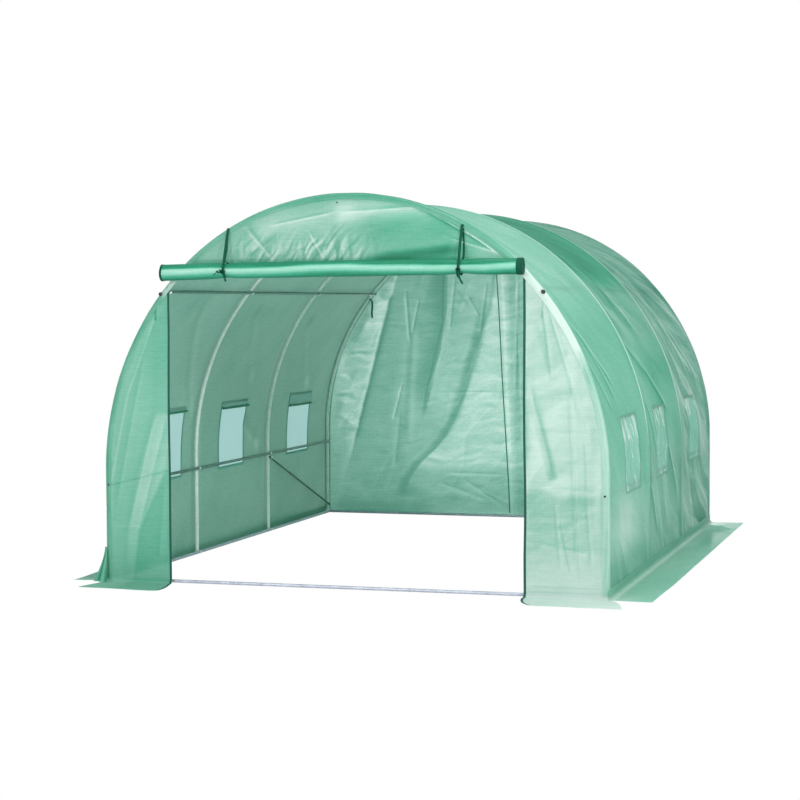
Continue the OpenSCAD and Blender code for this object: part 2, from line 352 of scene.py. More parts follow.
def cover_material(name, through=0.42, clear=0.06, fine=1.0, rough=0.46, mesh=0.07):
    """Woven film: a grid of threads in a clear coat, light passes through it."""
    k = Nodes(name)
    at = k.new("ShaderNodeAttribute", attribute_name="cloth").outputs["Vector"]
    tone = k.new("ShaderNodeAttribute", attribute_name="tone").outputs["Fac"]
    crush = k.new("ShaderNodeAttribute", attribute_name="crush").outputs["Fac"]
    grey = k.new("ShaderNodeAttribute", attribute_name="grey").outputs["Fac"]
    xyz = k.new("ShaderNodeSeparateXYZ", in_0=at)
    a, b = xyz.outputs[0], xyz.outputs[1]
    grid = k.math("MAXIMUM", k.step(k.math("PINGPONG", a, 0.00625), 0.0, 0.0017, 1.0, 0.0), k.step(k.math("PINGPONG", b, 0.00625), 0.0, 0.0017, 1.0, 0.0))
    # flat tapes of the weave, over and under
    tape = k.math("MULTIPLY", k.math("SINE", k.math("MULTIPLY", a, 2513.0)), k.math("SINE", k.math("MULTIPLY", b, 2513.0)))
    cloud = k.new("ShaderNodeTexNoise", in_Vector=at, in_Scale=2.6, in_Detail=4.0, in_Roughness=0.6).outputs[0]
    thread = k.new("ShaderNodeVectorMath", operation="MULTIPLY", in_0=at, in_1=(10.0, 85.0, 1.0)).outputs[0]
    streak = k.new("ShaderNodeTexNoise", in_Vector=thread, in_Scale=1.0, in_Detail=3.0).outputs[0]
    # sharp creases where the film was folded in its bag
    warp = k.new("ShaderNodeTexNoise", in_Vector=at, in_Scale=3.4, in_Detail=3.0)
    moved = k.new("ShaderNodeVectorMath", operation="MULTIPLY_ADD", in_0=warp.outputs["Color"], in_1=(0.22, 0.22, 0.0), in_2=at).outputs[0]
    skew = k.new("ShaderNodeVectorMath", operation="MULTIPLY", in_0=moved, in_1=(7.0, 4.2, 1.0)).outputs[0]
    cells = k.new("ShaderNodeTexVoronoi", feature="DISTANCE_TO_EDGE", in_Vector=skew, in_Scale=1.0).outputs["Distance"]
    small = k.new("ShaderNodeTexVoronoi", feature="DISTANCE_TO_EDGE", in_Vector=moved, in_Scale=17.0).outputs["Distance"]
    gate = k.step(k.new("ShaderNodeTexNoise", in_Vector=at, in_Scale=3.1, in_Detail=2.0).outputs[0], 0.46, 0.62)
    line = k.math("MULTIPLY", k.math("ADD", k.math("MULTIPLY", k.step(cells, 0.0, 0.040, 1.0, 0.0), 0.7), k.math("MULTIPLY", k.step(small, 0.0, 0.06, 1.0, 0.0), 0.45)), gate)
    crease = k.math("MULTIPLY", line, crush)
    t = k.math("ADD", tone, k.math("MULTIPLY", k.math("SUBTRACT", cloud, 0.5), 0.12))
    t = k.math("ADD", t, k.math("MULTIPLY", k.math("SUBTRACT", streak, 0.5), 0.14))
    t = k.math("ADD", t, k.math("MULTIPLY", k.math("SUBTRACT", grid, 0.4), mesh))
    t = k.math("ADD", t, k.math("MULTIPLY", tape, 0.02))
    mottle = k.new("ShaderNodeTexNoise", in_Vector=at, in_Scale=55.0, in_Detail=3.0, in_Roughness=0.6).outputs[0]
    t = k.math("ADD", t, k.math("MULTIPLY", k.math("SUBTRACT", mottle, 0.5), k.math("ADD", k.math("MULTIPLY", crush, 0.12), 0.10)))
    t = k.math("ADD", t, k.math("MULTIPLY", crease, 0.12))
    # grey mixes in the greyer ramp: painted sheen and shade
    pick = k.new("ShaderNodeMix", data_type="RGBA", in_0=grey, in_6=k.ramp(t, COVER_STOPS), in_7=k.ramp(t, GREY_STOPS))
    colour = pick.outputs[2]
    high = k.math("MULTIPLY", k.math("ADD", k.math("MULTIPLY", k.math("MINIMUM", cells, 0.3), 0.016), k.math("MULTIPLY", k.math("MINIMUM", small, 0.3), 0.005)), crush)
    weave = k.math("ADD", k.math("MULTIPLY", grid, 0.0004 * fine), k.math("MULTIPLY", tape, 0.00012 * fine))
    bump = k.new("ShaderNodeBump", in_Strength=0.6, in_Distance=1.0, in_Height=k.math("ADD", high, weave)).outputs[0]
    roughness = k.math("ADD", k.math("MULTIPLY", cloud, 0.16), rough - 0.08)
    face = k.new("ShaderNodeBsdfPrincipled", in_Base_Color=colour, in_Roughness=roughness, in_Normal=bump)
    face.inputs["Specular IOR Level"].default_value = 0.28
    glow = k.new("ShaderNodeBsdfTranslucent", in_Color=colour, in_Normal=bump)
    mix = k.new("ShaderNodeMixShader", in_0=through, in_1=face.outputs[0], in_2=glow.outputs[0])
    see = k.new("ShaderNodeBsdfTransparent", in_Color=(0.72, 0.92, 0.84, 1))
    last = k.new("ShaderNodeMixShader", in_0=clear, in_1=mix.outputs[0], in_2=see.outputs[0])
    k.link(last.outputs[0], k.out.inputs[0])
    return k.mat


def film_material(name):
    """Clear window film, crinkled, over a fine net."""
    k = Nodes(name)
    at = k.new("ShaderNodeAttribute", attribute_name="cloth").outputs["Vector"]
    tone = k.new("ShaderNodeAttribute", attribute_name="tone").outputs["Fac"]
    crush = k.new("ShaderNodeAttribute", attribute_name="crush").outputs["Fac"]
    xyz = k.new("ShaderNodeSeparateXYZ", in_0=at)
    net = k.math("MAXIMUM", k.step(k.math("PINGPONG", xyz.outputs[0], 0.002), 0.0, 0.0007, 1.0, 0.0), k.step(k.math("PINGPONG", xyz.outputs[1], 0.002), 0.0, 0.0007, 1.0, 0.0))
    warp = k.new("ShaderNodeTexNoise", in_Vector=at, in_Scale=9.0, in_Detail=2.0)
    moved = k.new("ShaderNodeVectorMath", operation="MULTIPLY_ADD", in_0=warp.outputs["Color"], in_1=(0.07, 0.07, 0.0), in_2=at).outputs[0]
    skew = k.new("ShaderNodeVectorMath", operation="MULTIPLY", in_0=moved, in_1=(22.0, 8.0, 1.0)).outputs[0]
    cells = k.new("ShaderNodeTexVoronoi", feature="DISTANCE_TO_EDGE", in_Vector=skew, in_Scale=1.0).outputs["Distance"]
    crease = k.math("MULTIPLY", k.step(cells, 0.0, 0.07, 1.0, 0.0), tone)
    cloud = k.new("ShaderNodeTexNoise", in_Vector=at, in_Scale=5.0, in_Detail=4.0).outputs[0]
    bump = k.new("ShaderNodeBump", in_Strength=0.5, in_Distance=1.0, in_Height=k.math("MULTIPLY", k.math("MINIMUM", cells, 0.3), 0.012)).outputs[0]
    f = k.math("ADD", k.math("ADD", cloud, k.math("MULTIPLY", crease, 0.55)), k.math("MULTIPLY", tone, 0.42))
    pale = k.ramp(f, [(0.3, srgb(150, 206, 198)), (0.7, srgb(178, 222, 215)), (1.0, srgb(240, 249, 247))])
    green = k.ramp(f, [(0.3, srgb(150, 213, 192)), (0.7, srgb(170, 222, 204)), (1.0, srgb(240, 249, 246))])
    colour = k.new("ShaderNodeMix", data_type="RGBA", in_0=crush, in_6=pale, in_7=green).outputs[2]
    face = k.new("ShaderNodeBsdfPrincipled", in_Base_Color=colour, in_Roughness=k.math("ADD", k.math("MULTIPLY", cloud, 0.15), 0.16), in_Normal=bump)
    glow = k.new("ShaderNodeBsdfTranslucent", in_Color=colour, in_Normal=bump)
    mix = k.new("ShaderNodeMixShader", in_0=0.55, in_1=face.outputs[0], in_2=glow.outputs[0])
    see = k.new("ShaderNodeBsdfTransparent", in_Color=(0.62, 1.0, 0.97, 1))
    amount = k.math("SUBTRACT", 0.78, k.math("ADD", k.math("MULTIPLY", net, 0.03), k.math("MULTIPLY", crease, 0.20)))
    amount = k.math("SUBTRACT", amount, k.math("MULTIPLY", crush, 0.52))
    last = k.new("ShaderNodeMixShader", in_0=amount, in_1=mix.outputs[0], in_2=see.outputs[0])
    k.link(last.outputs[0], k.out.inputs[0])
    return k.mat


def steel_material(name, dark, mid, light, metal=0.7):
    """Galvanised tube: bright, a little mottled."""
    k = Nodes(name)
    at = k.new("ShaderNodeTexCoord").outputs["Object"]
    spangle = k.new("ShaderNodeTexVoronoi", feature="F1", in_Vector=at, in_Scale=130.0).outputs["Distance"]
    cloud = k.new("ShaderNodeTexNoise", in_Vector=at, in_Scale=24.0, in_Detail=5.0).outputs[0]
    dirt = k.new("ShaderNodeTexNoise", in_Vector=at, in_Scale=3.0, in_Detail=6.0, in_Roughness=0.7).outputs[0]
    f = k.math("ADD", k.math("MULTIPLY", spangle, 0.35), k.math("MULTIPLY", cloud, 0.65))
    f = k.math("SUBTRACT", f, k.math("MULTIPLY", dirt, 0.25))
    colour = k.ramp(f, [(0.15, srgb(*dark)), (0.45, srgb(*mid)), (0.8, srgb(*light))])
    rough = k.math("ADD", k.math("MULTIPLY", cloud, 0.22), 0.24)
    bump = k.new("ShaderNodeBump", in_Strength=0.2, in_Distance=0.002, in_Height=f).outputs[0]
    face = k.new("ShaderNodeBsdfPrincipled", in_Base_Color=colour, in_Roughness=rough, in_Normal=bump)
    face.inputs["Metallic"].default_value = metal
    k.link(face.outputs[0], k.out.inputs[0])
    return k.mat


def tape_material(name, dark, light, pitch=0.003, through=0.12):
    """Narrow woven tape."""
    k = Nodes(name)
    at = k.new("ShaderNodeAttribute", attribute_name="cloth").outputs["Vector"]
    xyz = k.new("ShaderNodeSeparateXYZ", in_0=at)
    wa = k.math("SINE", k.math("MULTIPLY", xyz.outputs[0], 6.283 / pitch))
    wb = k.math("SINE", k.math("MULTIPLY", xyz.outputs[1], 6.283 / pitch))
    w = k.math("MULTIPLY", k.math("ADD", k.math("MULTIPLY", wa, wb), 1.0), 0.5)
    cloud = k.new("ShaderNodeTexNoise", in_Vector=at, in_Scale=60.0, in_Detail=4.0).outputs[0]
    f = k.math("ADD", k.math("MULTIPLY", w, 0.6), k.math("MULTIPLY", cloud, 0.4))
    colour = k.ramp(f, [(0.15, dark), (0.85, light)])
    bump = k.new("ShaderNodeBump", in_Strength=0.5, in_Distance=0.0006, in_Height=w).outputs[0]
    rough = k.math("ADD", k.math("MULTIPLY", cloud, 0.2), 0.55)
    face = k.new("ShaderNodeBsdfPrincipled", in_Base_Color=colour, in_Roughness=rough, in_Normal=bump)
    face.inputs["Specular IOR Level"].default_value = 0.15
    glow = k.new("ShaderNodeBsdfTranslucent", in_Color=colour)
    mix = k.new("ShaderNodeMixShader", in_0=through, in_1=face.outputs[0], in_2=glow.outputs[0])
    k.link(mix.outputs[0], k.out.inputs[0])
    return k.mat


def knob_material(name):
    k = Nodes(name)
    at = k.new("ShaderNodeTexCoord").outputs["Object"]
    cloud = k.new("ShaderNodeTexNoise", in_Vector=at, in_Scale=180.0, in_Detail=4.0).outputs[0]
    colour = k.ramp(cloud, [(0.3, srgb(16, 20, 20)), (0.75, srgb(38, 46, 44))])
    bump = k.new("ShaderNodeBump", in_Strength=0.25, in_Distance=0.0008, in_Height=cloud).outputs[0]
    face = k.new("ShaderNodeBsdfPrincipled", in_Base_Color=colour, in_Roughness=k.math("ADD", k.math("MULTIPLY", cloud, 0.25), 0.3), in_Normal=bump)
    k.link(face.outputs[0], k.out.inputs[0])
    return k.mat


COVER = cover_material("cover_woven")
FRONT = cover_material("cover_front", through=0.40, clear=0.10)
ROLLED = cover_material("cover_rolled", through=0.15, clear=0.0, mesh=0.03)
FILM = film_material("window_film")
STEEL = steel_material("galvanised_hoop", (214, 222, 220), (240, 246, 244), (252, 254, 253), 0.15)
# The rails get a dark, greener copy of the galvanised finish: painted shade, as they sit in shade under the green
# cover.
RAIL_STEEL_SHADED = steel_material("galvanised_rail_painted_shade", (74, 106, 98), (106, 140, 130), (146, 174, 165), 0.55)
SILL = steel_material("galvanised_sill", (150, 154, 170), (188, 192, 206), (214, 217, 228), 0.35)
TAPE = tape_material("tie_tape", srgb(2, 58, 42), srgb(12, 92, 68))
EDGE = tape_material("door_edge", srgb(22, 66, 56), srgb(52, 106, 92), pitch=0.004)
KNOB = knob_material("bolt_cap")

# ------------------------------------------------------------------ frame


def paint(ob, mat):
    ob.data.materials.clear()
    ob.data.materials.append(mat)
    ob.data.polygons.foreach_set("use_smooth", [True] * len(ob.data.polygons))


for name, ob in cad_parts.items():
    if "hoop" in name:
        paint(ob, STEEL)
    elif "ground_rail" in name:
        paint(ob, SILL)
    elif "rail" in name or "brace" in name:
        paint(ob, RAIL_STEEL_SHADED)


def bolt(parts, at, axis, size=0.0055):
    """A hexagon bolt on a washer, standing on a tube along its axis."""
    s = size
    parts.turned([(1.75 * s, 0), (1.85 * s, 0.1 * s), (1.85 * s, 0.3 * s), (1.6 * s, 0.36 * s)], at, axis, 14)
    parts.turned([(1.1 * s, 0.36 * s), (1.15 * s, 0.45 * s), (1.15 * s, 0.95 * s), (0.95 * s, 1.15 * s), (0.55 * s, 1.3 * s), (0.15 * s, 1.36 * s)], at, axis, 6)


bolts = Parts()
for y in HOOP_Y:
    for s in (-1, 1):
        for z in (SIDE_RAIL_Z, 0.0095):
            bolt(bolts, (s * (HALF_W - RAIL_IN - RAIL_R + 0.0012), y, z), (-s, 0, 0))
        c, d = math.cos(ROOF_RAIL_A), math.sin(ROOF_RAIL_A)
        r = SIDE_R - RAIL_IN - RAIL_R + 0.0012
        bolt(bolts, (s * (SIDE_CX + r * c), y, LEG + r * d), (-s * c, 0, -d))
    bolt(bolts, (0, y, HEIGHT - RAIL_IN - RAIL_R + 0.0012), (0, 0, -1))
for s in (-1, 1):
    x = s * (HALF_W - HOOP_IN - HOOP_R - 0.016 + 0.001)
    bolt(bolts, (x, 0.668, 0.529), (-s, 0, 0), 0.005)
    bolt(bolts, (x, 1.974, 0.0605), (-s, 0, 0), 0.005)
frame_bolts = bolts.object("frame_bolts", STEEL, smooth_faces=False)
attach(frame_bolts, "root")

# ------------------------------------------------------------------ cover over the hoops

BAY = HOOP_Y[1] - HOOP_Y[0]
# folds that show on the right wall: (y, metres up), to (y, metres up), height
WALL_FOLDS = (
    ((-1.86, 1.58), (-1.30, 1.14), 0.0050),
    ((-1.74, 1.48), (-1.38, 1.06), 0.0045),
    ((-1.92, 1.34), (-1.52, 1.00), 0.0040),
    ((-0.60, 1.42), (-0.20, 1.20), 0.0060),
    ((-0.40, 1.36), (0.30, 0.92), 0.0060),
    ((-0.58, 1.06), (-0.30, 0.66), 0.0060),
    ((0.05, 0.86), (0.52, 0.34), 0.0060),
    ((-0.62, 0.52), (-0.30, 0.20), 0.0060),
    ((0.74, 1.90), (1.20, 1.42), 0.0090),
    ((0.80, 1.52), (1.10, 0.98), 0.0090),
    ((1.10, 1.70), (1.46, 1.10), 0.0090),
    ((1.40, 1.50), (1.75, 1.05), 0.0080),
    ((0.95, 0.95), (1.30, 0.40), 0.0080),
)


def wall_crush(q, y):
    """How crushed the film is: little by the door and on the left, most at the rear of the right wall."""
    p = HALF_ARC - np.abs(q)
    side = smooth(0.1, 0.4, q)
    rear = smooth(0.66, 0.82, y) * (0.55 + 0.45 * smooth(2.6, 1.9, p))
    middle = smooth(-0.66, -0.50, y) * smooth(0.66, 0.50, y) * (0.16 + 0.70 * np.exp(-(((p - 1.66) / 0.20) ** 2)) * smooth(0.45, 0.0, y) + 0.22 * smooth(0.75, 0.5, p))
    front = smooth(-0.66, -0.8, y) * (0.05 + 0.12 * smooth(0.45, 0.25, p))
    return 0.06 + side * (rear + middle + front)


def cover_height(q, y):
    """How far the cover stands off its drawn shape, along the normal; q is metres from the ridge, right positive."""
    p = HALF_ARC - np.abs(q)
    hy = np.array(HOOP_Y)
    i = np.clip(np.searchsorted(hy, y) - 1, 0, 2)
    w = np.clip((y - hy[i]) / BAY, 0, 1)
    deep = np.interp(p, [0, 0.25, 0.56, 0.9, 1.35, ROOF_RAIL_P, 2.3, 2.75, HALF_ARC], [0.003, 0.012, 0.016, 0.022, 0.026, 0.017, 0.026, 0.024, 0.016])
    d = -deep * 4 * w * (1 - w)
    away = smooth(0.0, 0.07, np.minimum(w, 1 - w))
    f = wall_crush(q, y) * (0.013 * facets(y, q, 31, 0.27, 1.35, 1.20) + 0.003 * facets(y, q, 34, 0.13, 1.3, 0.8))
    for a, b, k in WALL_FOLDS:
        f = f + fold(y, q, (a[0], HALF_ARC - a[1]), (b[0], HALF_ARC - b[1]), 0.034, 0.8 * k)
    for a, b, k in (((-1.3, 1.75), (-0.75, 0.9), 0.006), ((-0.3, 1.7), (0.2, 1.1), 0.006), ((0.0, 0.9), (0.5, 0.62), 0.006), ((0.9, 1.6), (1.4, 1.0), 0.007)):
        f = f + fold(y, -q, (a[0], HALF_ARC - a[1]), (b[0], HALF_ARC - b[1]), 0.06, k, False)
    f = away * (f + 0.004 * noise(y * 1.7, q * 1.7, 5) + 0.0012 * noise(y * 5, q * 5, 6))
    return d + f, f, p, w


def cover_limit(d, p, w):
    """Keeps the cover off the rails and the hoops."""
    least = np.full(d.shape, -0.05)
    for pr in (SIDE_RAIL_Z, ROOF_RAIL_P, HALF_ARC):
        least = np.maximum(least, -0.0205 - 0.35 * np.maximum(np.abs(p - pr) - 0.008, 0))
    near = np.minimum(w, 1 - w) * BAY
    least = np.maximum(least, -0.0012 - 0.12 * near)
    return np.maximum(d, least)


def cover_tone(q, y, p, w, f):
    """Tone of the film, much of it painted light and shade, and how far it turns to the greyer ramp, which paints sheen
    and shade.
    """
    side = smooth(0.1, 0.4, q)
    b1, b3 = smooth(-0.64, -0.68, y), smooth(0.64, 0.68, y)
    b2 = (1 - b1) * (1 - b3)
    edge = np.minimum(w, 1 - w) * BAY
    # left: even, with painted shade deepening it over the middle of the roof
    left = 0.545 + 0.02 * smooth(0.60, 0.35, p) + 0.02 * noise(y * 2.0, q * 9.0, 27) - 0.15 * b2 * smooth(1.9, 2.6, p)
    # right, front bay: even mint, with painted light making it paler beside the door and higher up, and a pale painted
    # reflection in a blotch near the ground
    r1 = 0.50 - 0.02 * smooth(2.1, 2.5, p) + 0.10 * smooth(-1.82, -1.95, y) * smooth(1.2, 1.7, p) * smooth(2.5, 2.1, p)
    r1 = r1 + 0.27 * np.exp(-(((y + 1.40) / 0.50) ** 2) - ((p - 0.36) / 0.21) ** 2) + 0.11 * smooth(1.5, 1.9, p)
    # middle bay: painted shade makes it deep green over the roof and deeper below the shoulder; crushed and paler at
    # the shoulder
    r2 = 0.50 - 0.31 * smooth(1.70, 2.00, p + 0.10 * noise(y * 5, 0 * q, 24)) * (0.65 + 0.35 * smooth(0.66, 0.20, y))
    r2 = r2 - 0.09 * np.exp(-(((p - 1.22) / 0.16) ** 2)) * smooth(-0.35, 0.1, y)
    # rear bay: greyish and paler, darkened by painted shade towards the roof
    r3 = 0.60 - 0.10 * smooth(1.45, 1.85, p) - 0.03 * smooth(0.75, 0.5, p)
    right = b1 * r1 + b2 * r2 + b3 * r3
    # painted shade: the foot of the wall is deeper, most of all by the front corner
    foot = smooth(0.24, 0.10, p + 0.05 * noise(y * 3.1, 0 * q, 25)) * np.interp(y, [-1.9, -0.6, 0.6, 2.0], [1.0, 0.8, 0.5, 0.45])
    right = right - 0.13 * foot + 0.025 * noise(y * 3, q * 3, 22)
    t = left * (1 - side) + right * side
    # each hoop presses a line into the film: painted as a pale highlight along it, with painted shade just beside it
    t = t + (0.10 + 0.40 * side * smooth(0.7, 1.0, p)) * np.exp(-((edge / 0.014) ** 2)) - 0.05 * np.exp(-(((edge - 0.032) / 0.016) ** 2))
    # painted light and shade on the facets, and in the hollows of the creases
    t = t + painted_facet_shade(f, q, y, 1.3, -1.5, -0.18, 0.24) + crease_whitening_and_hollow_shade(f, 0.0115, 0.004, -0.04, 0.10)
    for a, b, k in WALL_FOLDS:
        t = t + 7 * k * band(y, q, (a[0], HALF_ARC - a[1]), (b[0], HALF_ARC - b[1]), 0.013, 0.8, 0.2)
    # painted sheen and shade: greyer over the whole left side, on the rear bay, round the middle bay's shoulder and low
    # on the front and middle bays
    grey = 0.55 * (1 - side) + side * np.clip(0.62 * b3 + b2 * (0.45 * smooth(0.9, 0.6, p) + 0.30 * smooth(1.35, 1.5, p) * smooth(1.9, 1.75, p)) + 0.35 * b1 * smooth(0.6, 0.4, p), 0, 1.25)
    return np.clip(t, 0, 1), np.clip(grey, 0, 1)


names = ("front", "middle", "rear")
windows = []
for k in range(3):
    mid = WIN_Y[k]
    ys = line_steps((HOOP_Y[k], mid - WIN_HALF, 38), (mid - WIN_HALF, mid + WIN_HALF, 40), (mid + WIN_HALF, HOOP_Y[k + 1], 38))
    ps = line_steps((0.0, WIN_LOW, 46), (WIN_LOW, WIN_P1, 39), (WIN_P1, HALF_ARC, 186))
    qs = np.concatenate([-(HALF_ARC - ps), (HALF_ARC - ps)[::-1][1:]])
    q, y = np.meshgrid(qs, ys, indexing="ij")
    d, f, p, w = cover_height(q, y)
    d = cover_limit(d, p, w) - 0.0008
    x, z, nx, nz = arch(p)
    s = np.where(q < 0, -1.0, 1.0)
    P = np.stack([s * (x + nx * d), y, z + nz * d], -1)
    cp, cy = (p[:-1, :-1] + p[1:, 1:]) / 2, (y[:-1, :-1] + y[1:, 1:]) / 2
    keep = ~((cp > WIN_LOW) & (cp < WIN_P1) & (np.abs(cy - mid) < WIN_HALF))
    crush = np.clip(wall_crush(q, y), 0, 1) * smooth(0.0, 0.06, np.minimum(w, 1 - w))
    tone, grey = cover_tone(q, y, p, w, f)
    ob = grid_object("cover_" + names[k], P, COVER, np.stack([y, q], -1), tone, keep, crush=crush, grey=grey)
    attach(ob, "root")
    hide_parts("left_wall_" + names[k], "roof_" + names[k], "right_wall_" + names[k])
    # film windows, sewn on inside with a lap
    lap = 0.012
    wy, wp = np.meshgrid(np.linspace(mid - WIN_HALF - lap, mid + WIN_HALF + lap, 49), np.linspace(WIN_LOW - lap, WIN_P1 + lap, 47), indexing="ij")
    for sgn, side in ((-1, "left"), (1, "right")):
        wq = sgn * (HALF_ARC - wp)
        d, f, p, w = cover_height(wq, wy)
        flat_d = cover_limit(d, p, w) - 0.0008
        u, v = (wy - mid) / WIN_HALF, (wp - (WIN_LOW + WIN_P1) / 2) / ((WIN_P1 - WIN_LOW) / 2)
        inner = (1 - smooth(0.80, 1.0, np.abs(u))) * (1 - smooth(0.80, 1.0, np.abs(v)))
        cr = 0.0045 * facets(wy, wp, 40 + k * 2 + (sgn > 0), 0.055, 2.2, 1.35) * (1.0 if sgn > 0 else 0.4)
        dd = np.where(inner > 0.02, cover_limit(flat_d - 0.0016 + inner * cr, p, w), flat_d - 0.0016)
        x, z, nx, nz = arch(p)
        P = np.stack([sgn * (x + nx * dd), wy, z + nz * dd], -1)
        tone = 0.06 + 0.05 * noise(wy * 9, wp * 9, 60 + k)
        if sgn > 0:
            # painted highlights: white glints at the top, and where the film puckers along its seams
            tone = tone + (0.12, 0.0, 0.05)[k] + 0.95 * smooth(0.20, 0.60, v) * smooth(0.05, 0.35, noise(wy * 26 + v * 2.5, wp * 4, 66 + k)) + (0.55, 0.30, 0.45)[k] * smooth(0.20, 0.45, noise(wy * 30 + v * 3, wp * 3, 76 + k)) + 0.22 * smooth(0.72, 0.95, -u) + 0.25 * smooth(0.80, 0.95, -v)
        film = grid_object(f"{side}_film_{names[k]}", P, FILM, np.stack([wy, wp], -1), np.clip(tone, 0, 1), crush=1.0 if sgn > 0 else 0.16 * (k == 2))
        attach(film, "root")
        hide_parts(f"{side}_window_{names[k]}")
        windows.append((sgn, mid, k))


def on_wall(sgn, yy, pp, off):
    q = sgn * (HALF_ARC - pp)
    d, f, p, w = cover_height(q, yy)
    d = cover_limit(d, p, w) - 0.0008 + off
    x, z, nx, nz = arch(p)
    return np.stack([sgn * (x + nx * d), yy, z + nz * d], -1)


# a sewn hem round each window, and its blind rolled up at the top inside
hems, flaps, blinds = Parts(), Parts(), Parts()
DROP = {(-1, 0): 0.010, (-1, 1): 0.026, (-1, 2): 0.074, (1, 0): 0.0, (1, 1): 0.0, (1, 2): 0.0}
for sgn, mid, k in windows:
    t = np.linspace(-1, 1, 40)
    a, b = np.meshgrid(t, np.linspace(-0.005, 0.005, 3), indexing="ij")
    for off in (0.0010, -0.0034):
        for edge in (-1, 1):
            hems.grid(on_wall(sgn, mid + edge * WIN_HALF + b, (WIN_LOW + WIN_P1) / 2 + a * (WIN_P1 - WIN_LOW) / 2, off), np.stack([a * 0.23, b], -1))
        for pp in (WIN_LOW, WIN_P1):
            hems.grid(on_wall(sgn, mid + a * (WIN_HALF + 0.005), pp + b, off), np.stack([a * 0.23, b], -1))
    drop = DROP[sgn, k]
    # the blind hangs flat from the seam, then is rolled
    yy, pp = np.meshgrid(mid + np.linspace(-1, 1, 40) * (WIN_HALF + 0.006), np.linspace(WIN_P1 + 0.012, WIN_P1 - drop - 0.006, 8), indexing="ij")
    flaps.grid(on_wall(sgn, yy, pp, -0.0048), np.stack([yy, pp], -1))
    r0, c0 = 0.0080, (-drop - 0.008, -0.0145)
    prof = np.array([(c0[0] + r * math.cos(g), c0[1] + r * math.sin(g)) for g, r in ((1.5 - 0.45 * j, r0 * (1 - 0.012 * j)) for j in range(44))])
    run = np.concatenate([[0], np.cumsum(np.hypot(*np.diff(prof, axis=0).T))])
    a, b = np.meshgrid(mid + np.linspace(-1, 1, 40) * (WIN_HALF + 0.006), np.arange(len(prof)), indexing="ij")
    wob = 0.0010 * noise(a * 20, b * 0.1, 71 + k)
    base = on_wall(sgn, a, WIN_P1 + 0 * b, 0.0)
    _, _, nx, nz = (float(g) for g in arch(np.array(WIN_P1)))
    up, off = prof[:, 0][b.astype(int)], prof[:, 1][b.astype(int)] - np.abs(wob)
    G = base + np.stack([sgn * (nx * off - nz * up), 0 * a, nz * off + nx * up], -1)
    blinds.grid(G, np.stack([a, run[b.astype(int)]], -1))
hem = hems.object("window_hems", COVER, tone=0.50, grey=0.4)
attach(hem, "root")
# the blind tops take the wall's tone and the full grey ramp: painted sheen and shade, as on the inside of the wall
lid = flaps.object("window_blind_tops", COVER, tone=0.60, grey=1.0)
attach(lid, "root")
blind = blinds.object("window_blinds", ROLLED, tone=0.08)
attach(blind, "root")

# ------------------------------------------------------------------ front: side panels with their ground flaps

BEND = 0.022


def turn_down(v):
    """Height and forward reach of a sheet that comes down a wall and turns onto the ground."""
    a = np.clip((BEND - v) / (2 * BEND), 0, 1) * math.pi / 2
    return np.where(v > BEND, v, BEND * (1 - np.sin(a))), BEND * (1 - np.cos(a)) + np.maximum(-v - BEND, 0)


